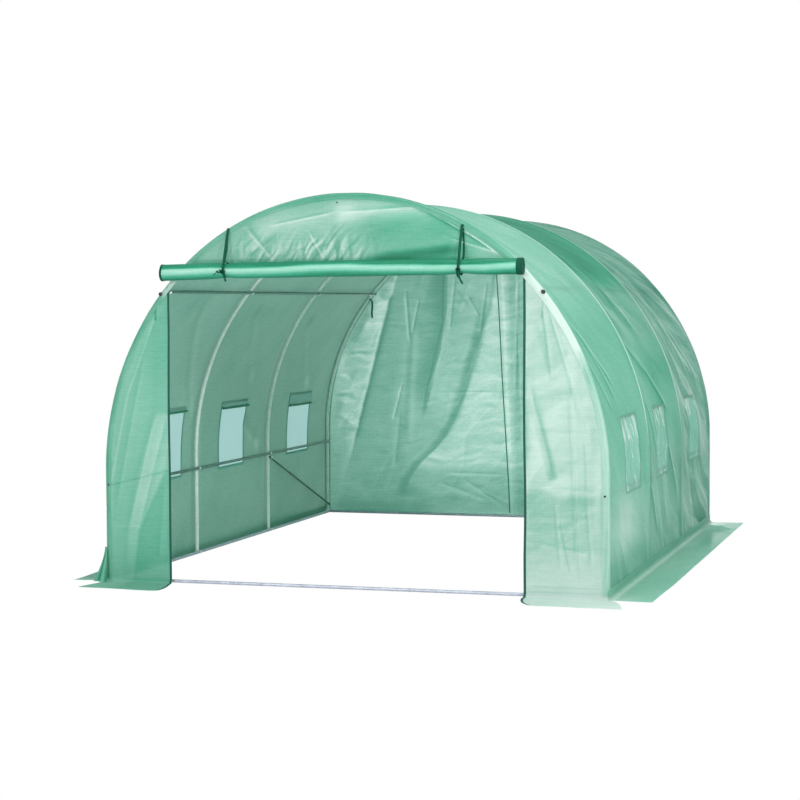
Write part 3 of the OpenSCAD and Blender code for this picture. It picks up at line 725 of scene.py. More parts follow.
def front_panel(sgn, name, seed, door):
    """Hangs from the arch beside the door, bends at the ground and lies forward as a flap."""
    top_z = float(LEG + math.sqrt((SIDE_R - 0.003) ** 2 - (door - SIDE_CX) ** 2)) - 0.004
    flap = 0.29
    vs = line_steps((top_z, 0.30, 150), (0.30, 0.05, 28), (0.05, -flap, 40))
    t, v = np.meshgrid(np.linspace(0, 1, 57), vs, indexing="ij")
    out = smooth(0, flap, -v) if sgn < 0 else np.clip(-v / flap, 0, 1) ** 0.5
    edge = half_width(np.maximum(v, 0), 0.0035) + (0.05 if sgn < 0 else 0.135) * out
    corner = np.clip(-v / flap, 0, 1)
    bow = 3 if sgn < 0 else 2
    jamb = door + (0.09 if sgn < 0 else 0.14) * (1 - np.maximum(1 - corner**bow, 0) ** (1 / bow)) - (0.085 if sgn < 0 else 0.0) * corner
    jamb = jamb + 0.003 * noise(v * 2.2, 0 * v, seed + 40) * smooth(0.1, 0.4, v) * (1 - smooth(1.4, 1.6, v))
    u = edge + (jamb - edge) * t
    zz, yy = turn_down(v)
    up = smooth(0.04, 0.25, v)
    free = (smooth(0.0, 0.10, 1 - np.abs(2 * t - 1)) * 0.8 + 0.2) * smooth(0.034, 0.085, edge - u)
    h = (0.0020 if sgn < 0 else 0.0030) * facets(u, v, seed, 0.18, 1.5, 1.3) + (0.0007 if sgn < 0 else 0.0013) * facets(u, v, seed + 5, 0.07, 1.6, 0.6)
    h = h + 0.004 * noise(u * 4, v * 2, seed + 2)
    if sgn < 0:
        folds = (((1.36, 0.28), (1.17, 1.02), 0.035, 0.004), ((1.29, 0.30), (1.10, 1.00), 0.035, -0.004), ((1.44, 0.40), (1.24, 1.35), 0.03, 0.003), ((1.16, 0.10), (1.12, 0.60), 0.05, 0.004))
    else:
        folds = (
            ((1.055, 1.20), (1.195, 0.65), 0.035, -0.007),
            ((1.28, 1.20), (1.33, 0.12), 0.012, 0.0022),
            ((1.13, 1.62), (1.19, 1.18), 0.012, 0.0022),
            ((1.14, 1.68), (1.37, 0.92), 0.012, 0.0022),
            ((1.06, 0.62), (1.44, 0.58), 0.022, 0.003),
            ((1.20, 0.56), (1.24, 0.14), 0.012, 0.002),
            ((1.38, 0.60), (1.41, 0.15), 0.012, 0.002),
            ((1.08, 0.30), (1.40, 0.24), 0.020, 0.004),
        )
    for a, b, wide, high in folds:
        h = h + fold(u, v, a, b, wide, high)
    y = -HALF_L - 0.0005 - yy - (0.03 * t if sgn < 0 else 0.02) * corner - h * up * free - 0.003 * up * np.sin(v * 7 + seed) * smooth(0.5, 1, t)
    lie = smooth(0.02, 0.10, -v)
    # a shallow pleat or two where the sheet turns onto the ground
    pleat = 0.003 * np.exp(-(((v + 0.050) / 0.010) ** 2)) + 0.002 * np.exp(-(((v + 0.085) / 0.010) ** 2))
    z = zz + lie * (0.0015 + 0.5 * np.abs(h) * free) + pleat * smooth(0.02, 0.15, t)
    tone = 0.025 * noise(u * 6, v * 2.5, seed + 8)
    if sgn < 0:
        # painted light and shade: a little darker low down and lighter midway, a lighter stripe where light through the
        # window behind shows through the sheet, a pale painted highlight along the hoop edge, the painted shadow of the
        # side rail, a faint pale line low down, and a short dark stroke near the top of the jamb
        tone = tone + 0.535 - 0.03 * smooth(0.35, 0.05, v) + 0.05 * np.exp(-(((v - 0.80) / 0.35) ** 2)) - 0.035 * smooth(1.1, 1.4, v)
        xl, xr = np.interp(v, [0.0, 0.28, 0.64, 1.0], [1.37, 1.36, 1.29, 1.17]), np.interp(v, [0.0, 0.30, 0.66, 1.0], [1.33, 1.29, 1.12, 1.07])
        tone = tone + 0.09 * smooth(-0.012, 0.012, xl - u) * smooth(-0.012, 0.012, u - xr) * smooth(0.02, 0.2, v) * (1 - smooth(0.985, 1.005, v))
        tone = tone - 0.09 * smooth(-0.010, 0.010, xr - u) * (1 - smooth(0.63, 0.68, v + 0.27 * (u - 1.1))) + 0.04 * smooth(0, 0.05, u - xl)
        sx = np.interp(v, [0.0, 0.59, 1.10, 1.65], [1.47, 1.462, 1.352, 1.14])
        tone = tone + 0.12 * np.exp(-(((u - sx) / 0.006) ** 2)) * smooth(0.2, 0.4, v)
        tone = tone - 0.13 * band(u, v, (1.475, 0.565), (1.085, 0.665), 0.005, 0.6)
        tone = tone + 0.05 * band(u, v, (1.46, 0.325), (1.28, 0.33), 0.004, 0.6)
        tone = tone - 0.30 * band(u, v, (1.165, 1.67), (1.172, 1.535), 0.007, 0.5, 0.03)
    else:
        # painted light: the right sheet is far paler than the left, as where strong light falls on it, and takes part
        # of the grey ramp; painted shade darkens it along its folds, beside the jamb, below its middle and in two lines
        # at its foot
        tone = tone + 0.855
        tone = tone - 0.20 * band(u, v, (1.050, 1.20), (1.190, 0.655), 0.024, 0.6, 0.02) * smooth(1.25, 0.85, v)
        tone = tone - 0.10 * smooth(1.085, 1.04, u) * smooth(1.30, 1.0, v) * smooth(0.65, 0.80, v)
        tone = tone - 0.15 * (1 - smooth(0.54, 0.60, v + 0.04 * noise(u * 9, 0 * v, 3))) * smooth(0.10, 0.32, v)
        tone = tone - 0.06 * smooth(0.60, 0.52, v) * smooth(0.28, 0.45, v) * smooth(1.22, 1.08, u)
        tone = tone - 0.10 * band(u, v, (1.285, 1.20), (1.335, 0.12), 0.005, 0.6) - 0.08 * band(u, v, (1.14, 1.66), (1.375, 0.93), 0.005, 0.6)
        tone = tone - 0.10 * band(u, v, (1.135, 1.58), (1.165, 1.36), 0.010, 0.8) - 0.08 * band(u, v, (1.10, 1.50), (1.20, 1.20), 0.016, 0.9)
        tone = tone - 0.14 * band(u, v, (1.135, 1.665), (1.13, 1.54), 0.006, 0.6, 0.03)
        tone = tone - 0.11 * band(u, v, (1.225, 0.42), (1.285, 0.14), 0.005, 0.6) - 0.10 * band(u, v, (1.36, 0.86), (1.375, 0.60), 0.005, 0.6)
        tone = tone + 0.04 * band(u, v, (1.04, 0.615), (1.30, 0.63), 0.012, 0.8) + 0.05 * smooth(0.16, 0.08, v)
        tone = tone - 0.12 * band(u, v, (1.07, 0.062), (1.46, 0.062), 0.004, 0.7) - 0.12 * band(u, v, (1.05, 0.030), (1.50, 0.030), 0.004, 0.7)
        tone = tone + 0.03 * noise(u * 3, v * 40, seed + 11)
    # painted light and shade on the facets, and in the hollows of the creases
    tone = tone + painted_facet_shade(h * up * free, u, v, 0.4 if sgn < 0 else -0.8, 0.3 if sgn < 0 else 0.6, -0.08, 0.10) + crease_whitening_and_hollow_shade(h * up * free, 0.009, 0.0016, -0.04, 0.08)
    P = np.stack([sgn * u, y, z], -1)
    ob = grid_object(name, P, FRONT, np.stack([sgn * u, v], -1), np.clip(tone, 0, 1), flip=sgn < 0, crush=0.06 * up, grey=0.0 if sgn < 0 else 0.6)
    return ob, P


fronts = {}
for sgn, side, seed, door in ((-1, "left", 101, DOOR_LEFT), (1, "right", 151, DOOR_RIGHT)):
    ob, P = front_panel(sgn, f"front_{side}_sheet", seed, door)
    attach(ob, "root")
    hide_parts(f"front_{side}_panel", f"front_{side}_flap")
    fronts[side] = P

# door edge: a dark zip tape down each jamb and round onto the flap
zips = Parts()
for side in ("left", "right"):
    P = fronts[side]
    line = P[-1, 2:-2]
    inner = P[-2, 2:-2] - line
    inner /= np.linalg.norm(inner, axis=1)[:, None]
    wide = np.array([-0.003, 0.004, 0.011])
    G = line[:, None] + inner[:, None] * wide[None, :, None] + np.array([0, -0.0016, 0.0])
    G[..., 2] += 0.0016 * smooth(0.03, 0.01, line[:, None, 2])
    run = np.concatenate([[0], np.cumsum(np.linalg.norm(np.diff(line, axis=0), axis=1))])
    zips.grid(G, np.stack(np.broadcast_arrays(run[:, None], wide[None]), -1))
    for a in np.arange(0.03, run[-1] - 0.35, 0.014):
        k = np.searchsorted(run, a)
        c = line[k] + inner[k] * 0.003
        w = np.array([[-0.0035, -0.0026, -0.003], [0.0035, -0.0026, -0.003], [0.0035, -0.0026, 0.003], [-0.0035, -0.0026, 0.003], [-0.0028, -0.0042, -0.0022], [0.0028, -0.0042, -0.0022], [0.0028, -0.0042, 0.0022], [-0.0028, -0.0042, 0.0022]])
        zips.add(c + w, [(0, 1, 5, 4), (1, 2, 6, 5), (2, 3, 7, 6), (3, 0, 4, 7), (4, 5, 6, 7)])
zip_edges = zips.object("door_edges", EDGE)
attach(zip_edges, "root")

# ------------------------------------------------------------------ front: arched top panel

GABLE_LOW = 1.80
gz = line_steps((GABLE_LOW, 2.10, 42), (2.10, HEIGHT - 0.0045, 26))
t, v = np.meshgrid(np.linspace(-1, 1, 281), gz, indexing="ij")
u = t * half_width(v, 0.0038)
edge = half_width(v, 0.0038) - np.abs(u)
hold = (smooth(0.0, 0.10, edge) * 0.9 + 0.1) * smooth(0.0, 0.05, HEIGHT - 0.004 - v)
left = 1 - smooth(-0.05, 0.35, u)
# crushed in two patches above the roll, taut elsewhere
patch = np.exp(-(((u + 0.52) / 0.17) ** 2) - ((v - 1.94) / 0.09) ** 2) + np.exp(-(((u + 0.10) / 0.17) ** 2) - ((v - 1.93) / 0.08) ** 2)
h = 0.0016 * facets(u, v, 201, 0.12, 1.8, 0.5) + patch * (0.0062 * facets(u, v, 202, 0.055, 2.0, 1.9) + 0.0040 * facets(u, v, 205, 0.030, 1.8, 1.3))
GABLE_FOLDS = (
    ((-0.60, 2.06), (-0.44, 1.88), 0.010, 0.0050),
    ((-0.22, 2.04), (-0.13, 1.88), 0.010, 0.0050),
    ((-0.46, 2.07), (-0.06, 2.145), 0.012, 0.0022),
    ((-0.05, 2.14), (0.46, 2.165), 0.016, 0.0022),
    ((0.42, 2.165), (0.96, 1.885), 0.007, 0.0035),
    ((0.55, 2.10), (0.90, 1.90), 0.007, 0.0035),
    ((0.66, 2.05), (0.88, 1.90), 0.007, 0.0050),
    ((0.60, 1.99), (0.99, 1.87), 0.012, 0.0040),
)
for a, b, w, k in GABLE_FOLDS:
    h = h + fold(u, v, a, b, w, k)
puff = 0.012 * smooth(0, 0.3, edge) * np.sin(np.clip((v - GABLE_LOW) / 0.45, 0, 1) * math.pi)
P = np.stack([u, -HALF_L + 0.001 - h * hold - puff, v], -1)
# painted light and shade: paler and greyer to the left, painted highlights in bands near the top and in a fan at the
# right corner, pale lines along the folds, a darker band on the right, the painted shadow of the roll along its foot,
# and darker by the right edge and along the top outline
tone = 0.50 + 0.03 * noise(u * 5, v * 7, 211) + 0.12 * left
for a, b, w, k in GABLE_FOLDS:
    tone = tone + 30 * k * band(u, v, a, b, 0.0060, 0.8, 0.2)
tone = tone + 0.10 * band(u, v, (-0.55, 2.05), (0.05, 2.15), 0.045, 0.9) + 0.18 * band(u, v, (-0.05, 2.140), (0.50, 2.160), 0.052, 0.9)
tone = tone - 0.11 * band(u, v, (0.12, 2.02), (0.66, 2.06), 0.060, 0.9, 0.2)
tone = tone - 0.38 * band(u, v, (0.16, 1.878), (0.68, 1.930), 0.026, 0.9, 0.2) - 0.22 * band(u, v, (-1.0, 1.868), (0.7, 1.872), 0.014, 0.8)
tone = tone + 0.10 * band(u, v, (0.62, 1.965), (0.97, 1.88), 0.045, 0.9)
tone = tone - 0.16 * smooth(0.30, 0.60, u) * smooth(0.14, 0.06, edge) * smooth(1.9, 2.0, v)
tone = tone - 0.30 * smooth(0.022, 0.008, edge) * smooth(2.12, 2.2, v)
# painted light and shade on the facets, and in the hollows of the creases
tone = tone + painted_facet_shade(h * hold, u, v, -1.0, 1.2, -0.16, 0.24) + crease_whitening_and_hollow_shade(h * hold, 0.0075, 0.0030, -0.05, 0.14)
gable = grid_object("front_gable_sheet", P, FRONT, np.stack([u, v], -1), np.clip(tone, 0, 1), crush=0.05 + 0.45 * patch, grey=0.05 + 0.45 * left)
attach(gable, "root")
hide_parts("front_gable")

# ------------------------------------------------------------------ hem over the front and rear hoops


def sleeve(name, end):
    """The cover's hem turned over an end hoop, from the wall face to the end face."""
    ps = np.linspace(0.02, HALF_ARC, 230)
    qs = np.concatenate([-(HALF_ARC - ps), (HALF_ARC - ps)[::-1][1:]])
    q, r = np.meshgrid(qs, np.linspace(-0.4, 1.4, 19), indexing="ij")
    p = HALF_ARC - np.abs(q)
    x, z, nx, nz = arch(p, HOOP_IN)
    ang = np.clip(r, 0, 1) * math.pi / 2
    rad = HOOP_IN + 0.0026 + 0.0008 * noise(q * 9, r * 3, 301)
    out, fwd = np.cos(ang) * rad, np.sin(ang) * rad + np.minimum(r, 0) * 0.04
    fwd = fwd + np.minimum(np.maximum(r - 1, 0), 0.1) * 0.03
    out = out - np.maximum(r - 1, 0) * 0.045 * (1 + 0.15 * noise(q * 3, 0 * q, 303))
    s = np.where(q < 0, -1.0, 1.0)
    P = np.stack([s * (x + nx * out), end * (HOOP_Y[3] + fwd), z + nz * out], -1)
    tone = 0.50 + 0.06 * noise(q * 5, r * 2, 305)
    if end < 0:
        # painted highlight: the front hem is much paler over the right shoulder and low on the right, and over a short
        # stretch on the left
        tone = tone + 0.50 * smooth(1.20, 1.45, p) * (1 - smooth(1.93, 2.0, p)) * (q > 0)
        tone = tone + 0.25 * (1 - smooth(1.1, 1.4, p)) * (q > 0)
        tone = tone + 0.34 * smooth(1.74, 1.80, p) * (1 - smooth(1.90, 1.98, p)) * (q < 0)
        # painted shade: a dark edge along the top outline, and darker near the ridge
        tone = tone - 0.48 * smooth(0.34, 0.16, np.abs(r - 0.05)) * (1 - (q > 0) * smooth(2.5, 2.0, p))
        tone = tone - 0.10 * smooth(HALF_ARC - 0.50, HALF_ARC - 0.15, p) * smooth(0.9, 0.5, np.abs(q) + 0.2 * (q > 0))
    ob = grid_object(name, P, COVER, np.stack([q, r * 0.02], -1), np.clip(tone, 0, 1))
    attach(ob, "root")


sleeve("front_hem", -1)
sleeve("rear_hem", 1)

# ------------------------------------------------------------------ rear wall and its flap

flap = 0.29
vs = line_steps((HEIGHT - 0.0045, 2.10, 15), (2.10, 0.06, 180), (0.06, -flap, 34))
t, v = np.meshgrid(np.linspace(-1, 1, 281), vs, indexing="ij")
u = t * (half_width(np.maximum(v, 0), 0.0038) - 0.10 * smooth(0.0, 0.20, -v))
edge = half_width(np.maximum(v, 0), 0.0038) - np.abs(u)
hold = smooth(0.0, 0.12, edge) * smooth(0.0, 0.10, HEIGHT - 0.004 - v) * smooth(0.03, 0.18, v)
# flat stretches between long folds that run down from the roof
line_a = 1 - left_of(u, v, (-0.96, 1.71), (-1.31, 0.42), 0.010)
x_dark = np.interp(v, [0.4, 0.95, 1.48, 1.85], [-0.80, -0.67, -0.54, -0.53])
x_soft = np.interp(v, [0.4, 0.86, 1.85], [-0.86, -0.82, -0.77])
x_turn = np.interp(v, [0.10, 0.28, 0.41, 0.51, 0.61, 0.70, 0.79, 0.99, 1.26, 1.48, 1.75, 2.0], [-0.88, -0.82, -0.73, -0.62, -0.53, -0.475, -0.43, -0.355, -0.28, -0.22, -0.15, -0.10])
turn = u - x_turn
# dark marks a band of painted shadow; middle and rightish also set how crushed the film is, and get painted light
dark = smooth(-0.006, 0.010, x_dark - u) * smooth(-0.06, 0.05, u - x_soft) * smooth(0.72, 1.0, v)
middle = smooth(-0.006, 0.010, u - x_dark) * (1 - smooth(-0.03, 0.0, turn)) * smooth(0.55, 0.9, v)
rightish = smooth(0.0, 0.03, turn) * smooth(0.30, 0.42, v)
amp = 0.20 + 0.90 * line_a * smooth(0.40, 0.75, v) * smooth(1.45, 1.35, np.abs(u)) + 0.42 * rightish + 0.34 * middle + 0.20 * smooth(0.36, 0.28, v) * smooth(-0.8, -0.4, u)
h = amp * (0.0085 * facets(u, v, 401, 0.13, 1.9, 1.25) + 0.0035 * facets(u, v, 404, 0.055, 1.8, 0.5)) + 0.008 * noise(u * 2.2, v * 0.9, 405)
lower = smooth(0.12, 0.25, v) * (1 - smooth(1.5, 1.75, v))
h = h + 0.009 * smooth(-0.09, 0.0, turn) * smooth(0.22, 0.02, turn) * lower
h = h - 0.014 * smooth(-0.02, 0.02, x_dark - u) * smooth(0.7, 1.0, v) * smooth(-0.30, -0.05, u - x_dark)
for a, b, w, k in (
    ((-0.96, 1.74), (-1.31, 0.42), 0.030, -0.007),
    ((-0.85, 1.72), (-0.82, 1.33), 0.012, -0.003),
    ((-0.74, 1.68), (-0.80, 1.40), 0.012, -0.0025),
    ((-0.88, 1.02), (-0.96, 0.72), 0.012, -0.003),
    ((-0.78, 1.50), (-0.84, 0.55), 0.040, 0.003),
    ((-0.45, 1.85), (-0.50, 1.40), 0.012, -0.003),
    ((-0.36, 1.70), (-0.26, 1.52), 0.010, -0.002),
    ((-0.20, 1.80), (-0.26, 1.40), 0.014, -0.003),
    ((-0.68, 0.94), (-0.08, 0.945), 0.008, -0.0014),
    ((-0.52, 0.32), (-0.06, 0.315), 0.012, -0.002),
    ((-0.60, 0.25), (-0.15, 0.10), 0.020, -0.002),
    ((-0.40, 0.28), (-0.05, 0.06), 0.020, -0.002),
    ((-0.90, 0.80), (-0.95, 0.35), 0.030, -0.003),
    ((0.04, 1.85), (0.02, 0.9), 0.020, -0.004),
    ((0.20, 2.05), (0.15, 0.4), 0.04, 0.018),
    ((0.45, 2.0), (0.52, 0.5), 0.05, -0.016),
    ((0.75, 1.9), (0.92, 0.4), 0.05, 0.018),
    ((1.05, 1.6), (1.22, 0.4), 0.04, 0.014),
):
    h = h + fold(u, v, a, b, w, k, w < 0.035)
zz, yy = turn_down(v)
lie = smooth(0.02, 0.10, -v)
rip = 0.004 * facets(u, v, 411, 0.30, 1.6, 0.2)
z = zz + lie * (0.0015 + np.abs(rip))
P = np.stack([u, HALF_L - 0.001 + yy + np.maximum(h * hold, -0.012) + 0.007 * hold, z], -1)
# painted light and shade: paler in the triangle by the left hoop and in the middle and right stretches, a painted
# shadow band left of them, darker right of the centre, beside the turned fold and along the left of the foot, and dark
# and pale lines along the seam and the folds
tone = 0.44 + 0.025 * noise(u * 2.5, v * 0.8, 421)
tone = tone + 0.15 * line_a * smooth(0.35, 0.9, v) - 0.17 * dark + 0.08 * middle + 0.19 * rightish - 0.12 * smooth(-0.02, 0.06, u + 0.02 * v) * smooth(0.3, 0.5, v) - 0.04 * (1 - line_a) * smooth(0.05, -0.05, u - x_soft)
tone = tone - 0.09 * smooth(-0.09, -0.02, turn) * (1 - smooth(-0.004, 0.010, turn)) * lower * smooth(-0.95, -0.8, u)
tone = tone - 0.015 * (1 - smooth(0.29, 0.33, v)) - 0.10 * (1 - smooth(0.05, 0.12, v)) * (1 - smooth(-0.75, -0.55, u))
tone = tone - 0.08 * band(u, v, (-0.02, 2.1), (0.075, 0.02), 0.035, 0.6)
tone = tone + 0.10 * band(u, v, (-0.090, 2.1), (-0.005, 0.02), 0.012, 0.7) + 0.10 * band(u, v, (0.03, 1.9), (0.10, 0.02), 0.006, 0.6)
for a, b, k in (((-0.85, 1.72), (-0.82, 1.33), 0.14), ((-0.74, 1.66), (-0.80, 1.42), 0.12), ((-0.88, 1.02), (-0.955, 0.74), 0.14), ((-0.52, 0.315), (-0.06, 0.31), 0.08), ((-0.50, 1.62), (-0.56, 1.30), 0.12), ((-0.55, 1.28), (-0.67, 0.95), 0.10), ((-0.30, 0.22), (0.0, 0.10), 0.10)):
    tone = tone + k * band(u, v, a, b, 0.007, 0.8, 0.15)
tone = tone - 0.05 * band(u, v, (-0.62, 0.945), (-0.10, 0.955), 0.004, 0.7, 0.1) - 0.10 * band(u, v, (-0.44, 1.74), (-0.34, 1.60), 0.007, 0.7, 0.2)
# painted light and shade on the facets, and in the hollows of the creases
tone = tone + painted_facet_shade(-h * hold, u, v, 0.9, 0.9, -0.15, 0.18) + crease_whitening_and_hollow_shade(-h * hold, 0.0105, 0.0035, -0.05, 0.12)
lying = smooth(0.02, -0.03, v)
tone = tone + (0.60 + 0.02 * noise(u * 3, v * 9, 425) - tone) * lying
# the upright wall takes the grey ramp: painted sheen and shade
rear = grid_object("rear_sheet", P, COVER, np.stack([u, v], -1), np.clip(tone, 0, 1), flip=True, crush=np.clip(amp * 0.4, 0, 0.5), grey=1.0 - 0.9 * lying)
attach(rear, "root")
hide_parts("rear_left_panel", "rear_right_panel", "rear_gable", "rear_flap")

# upright seam of the rear wall
seam = Parts()
v1 = np.linspace(0.03, 2.22, 190)
uc = -0.02 - 0.10 * np.clip((v1 - 0.02) / 1.8, 0, 1.2)
col = np.clip(np.round((uc / half_width(v1, 0.0038) + 1) / 2 * 280).astype(int), 1, 279)
row = np.array([int(np.argmin(np.abs(vs - a))) for a in v1])
yv = np.minimum(P[col, row, 1], np.minimum(P[col - 1, row, 1], P[col + 1, row, 1]))
yv = np.convolve(np.pad(yv, 3, mode="edge"), np.ones(7) / 7, "valid")
wide = np.array([-0.0045, 0.0, 0.0045])
G = np.stack([np.stack([uc + s, yv - 0.003 - (0.0025 if s == 0 else 0), v1], -1) for s in wide], 1)
seam.grid(G, np.stack(np.broadcast_arrays(v1[:, None], wide[None]), -1))
seam_ob = seam.object("rear_seam", COVER, tone=0.14)
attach(seam_ob, "root")

# ------------------------------------------------------------------ side ground flaps


def side_flap(sgn, name, seed):
    """Stands a little way up the wall, bends and lies on the ground."""
    ys = np.linspace(-HALF_L - 0.02, HALF_L, 321)
    y, s = np.meshgrid(ys, line_steps((0.0, 0.13, 18), (0.13, 0.35, 24)), indexing="ij")
    up, bend = (0.030 if sgn < 0 else 0.035), 0.022
    arc = bend * math.pi / 2
    a = np.clip((s - up) / arc, 0, 1) * math.pi / 2
    g = np.maximum(s - up - arc, 0)
    x = HALF_W + 0.0035 + bend * (1 - np.cos(a)) + np.minimum(g, 0.25 - bend)
    z = np.where(s < up, bend + up - s, bend * (1 - np.sin(a)))
    h = 0.0025 * facets(y, s, seed, 0.30, 2.2, 0.15) + 0.006 * np.maximum(noise(y * 1.9, s * 3, seed + 2), 0) * smooth(0.01, 0.12, g)
    inside = smooth(0.25, 0.20, x - HALF_W) * 0.8 + 0.2
    lift = np.abs(h) * inside
    # one pleat across the flap near the rear
    cross = np.exp(-(((y - 1.52) / 0.050) ** 2)) * smooth(0.02, 0.05, s - up) * smooth(0.20, 0.12, g)
    lift = lift + 0.030 * cross
    puff = 0.005 * np.maximum(noise(y * 2.1, s * 2, seed + 4), -0.2) * np.sin(np.clip(s / (up + arc), 0, 1) * math.pi)
    z = z + np.where(s < up, 0, lift) + 0.0012
    # the front end is a little narrower, as it is drawn in by the corner
    x = x + puff - 0.05 * smooth(0.05, 0.22, g) * smooth(-1.2, -2.0, y) * (1.0 if sgn < 0 else 0.2)
    P = np.stack([sgn * x, y, z], -1)
    # painted light and shade: the upright part darker, a painted highlight along the bend, paler at the front and the
    # rear end, darker along the middle of the lying part, the pleat's top lighter with a painted shadow behind it, and
    # painted light on the facets
    tone = 0.62 + 0.02 * noise(y * 3, s * 9, seed + 7)
    tone = tone - 0.06 * (1 - smooth(up + 0.3 * arc, up + 0.8 * arc, s))
    tone = tone + 0.18 * np.exp(-(((s - up - arc * 1.0) / 0.014) ** 2)) + 0.08 * smooth(-1.7, -1.95, y) * smooth(0.20, 0.05, g)
    tone = tone - 0.12 * smooth(0.05, 0.12, g) * smooth(0.2, 1.0, y) * smooth(1.45, 1.35, y) + 0.06 * smooth(1.60, 1.72, y)
    tone = tone + 0.10 * np.exp(-(((y - 1.48) / 0.04) ** 2)) * cross - 0.20 * np.exp(-(((y - 1.585) / 0.025) ** 2)) * smooth(0.0, 0.03, g) * smooth(0.18, 0.10, g)
    ob = grid_object(name, P, COVER, np.stack([y, s], -1), np.clip(tone + painted_facet_shade(h, y, s, -1.0, 0.8, -0.08, 0.08), 0, 1), flip=sgn < 0, crush=0.03)
    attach(ob, "root")
    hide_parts(name.replace("_sheet", ""))


side_flap(-1, "left_flap_sheet", 501)
side_flap(1, "right_flap_sheet", 531)


def gusset(sx, sy, name):
    """Pleated corner where a side flap and an end flap are gathered together at the foot of an end hoop."""
    t, f = np.meshgrid(np.linspace(0, 1, 26), np.linspace(-0.35, math.pi / 2 + 0.35, 60), indexing="ij")
    pleat = np.cos(f * 8 + 0.9)
    r = 0.014 + 0.062 * (1 - t) ** 1.5 * (1 + 0.16 * pleat * (1 - t) ** 0.3)
    P = np.stack([sx * (HALF_W - 0.004 + r * np.cos(f)), sy * (HALF_L - 0.006 + r * np.sin(f)), 0.002 + 0.200 * t], -1)
    # painted light and shade: the pleats' crests lighter and their troughs darker
    tone = 0.40 + 0.30 * np.minimum(pleat, 0.3) * (1 - 0.5 * t)
    ob = grid_object(name, P, COVER, np.stack([f * 0.08, t * 0.215], -1), np.clip(tone, 0, 1))
    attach(ob, "root")


gusset(-1, -1, "front_left_gusset")

# ------------------------------------------------------------------ rolled-up door

turns, per = 9.5, 36
steps = int(turns * per)
xs = ROLL_X + line_steps((-ROLL_HALF, -ROLL_HALF + 0.10, 10), (-ROLL_HALF + 0.10, ROLL_HALF - 0.10, 116), (ROLL_HALF - 0.10, ROLL_HALF, 10))
x, k = np.meshgrid(xs, np.arange(steps + 1), indexing="ij")
ang = -k / per * 2 * math.pi + 2.1
share = k / steps
rad = 0.007 + (ROLL_R - 0.009) * share
waist = 1 - 0.14 * (np.exp(-(((x + TIE_X) / 0.05) ** 2)) + np.exp(-(((x - TIE_X) / 0.05) ** 2)))
rad = rad * waist * (1 + 0.05 * noise(x * 2.2, np.sin(ang) * 0.8 + 2, 601) + 0.02 * noise(x * 9, ang * 0.5, 602) * share)
flat = 1 + 0.07 * np.cos(2 * (ang - 0.5))
cz = ROLL_Z + np.interp(x, [-1.105, -0.70, -0.1, 0.7, 1.035], [-0.002, 0.008, 0.012, 0.016, 0.014])
P = np.stack([x, ROLL_Y + 0.001 + rad * flat * np.cos(ang) * 0.97, cz + rad * np.sin(ang) * 1.10], -1)
# painted light and shade round the roll: its top in painted shade, a painted highlight across its upper front, and
# darker again underneath
rise = np.sin(ang) + 0.16 * noise(x * 1.6, 0 * x, 612) + 0.08 * noise(x * 5, 0 * x, 613)
tone = np.interp(rise, [-1.0, -0.80, -0.50, -0.20, 0.12, 0.36, 0.52, 1.0], [0.06, 0.10, 0.24, 0.52, 0.66, 0.54, 0.03, 0.0])
tone = tone + 0.05 * noise(x * 3, ang, 611)
roll = grid_object("rolled_door_sheet", P, ROLLED, np.stack([x, share * 1.66], -1), np.clip(tone, 0, 1), crush=0.1)
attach(roll, "root")
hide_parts("rolled_door")

# dark binding at each end of the roll
caps = Parts()
for e, wide in ((-1, 0.012), (1, 0.032)):
    kk = np.arange(steps - per * 2, steps + 1)
    idx = -1 if e > 0 else 0
    line = P[idx, kk]
    c = np.array([ROLL_X + e * ROLL_HALF, ROLL_Y, float(cz[idx, 0])])
    outv = line - c
    outv[:, 0] = 0
    outv /= np.linalg.norm(outv, axis=1)[:, None]
    G = np.stack([line + np.array([-e * wide, 0, 0]) + outv * 0.0016, line + np.array([e * 0.001, 0, 0]) + outv * 0.0018, line + np.array([e * 0.001, 0, 0]) - outv * 0.001], 1)
    run = np.concatenate([[0], np.cumsum(np.linalg.norm(np.diff(line, axis=0), axis=1))])
    caps.grid(G, np.stack(np.broadcast_arrays(run[:, None], np.array([0, wide, wide + 0.003])[None]), -1))
    # closing disc: the layers seen end on
    inner = np.stack([np.full(per + 1, c[0] + e * 0.0006), c[1] + 0 * kk[: per + 1], c[2] + 0 * kk[: per + 1]], -1)
    rim = line[-per - 1 :] + np.array([e * 0.0008, 0, 0])
    caps.grid(np.stack([rim, rim * 0.5 + inner * 0.5, rim * 0.12 + inner * 0.88], 1), np.stack(np.broadcast_arrays(run[: per + 1, None], np.array([0, 0.02, 0.04])[None]), -1))
roll_hems = caps.object("roll_hems", TAPE)
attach(roll_hems, "root")

# ------------------------------------------------------------------ ties


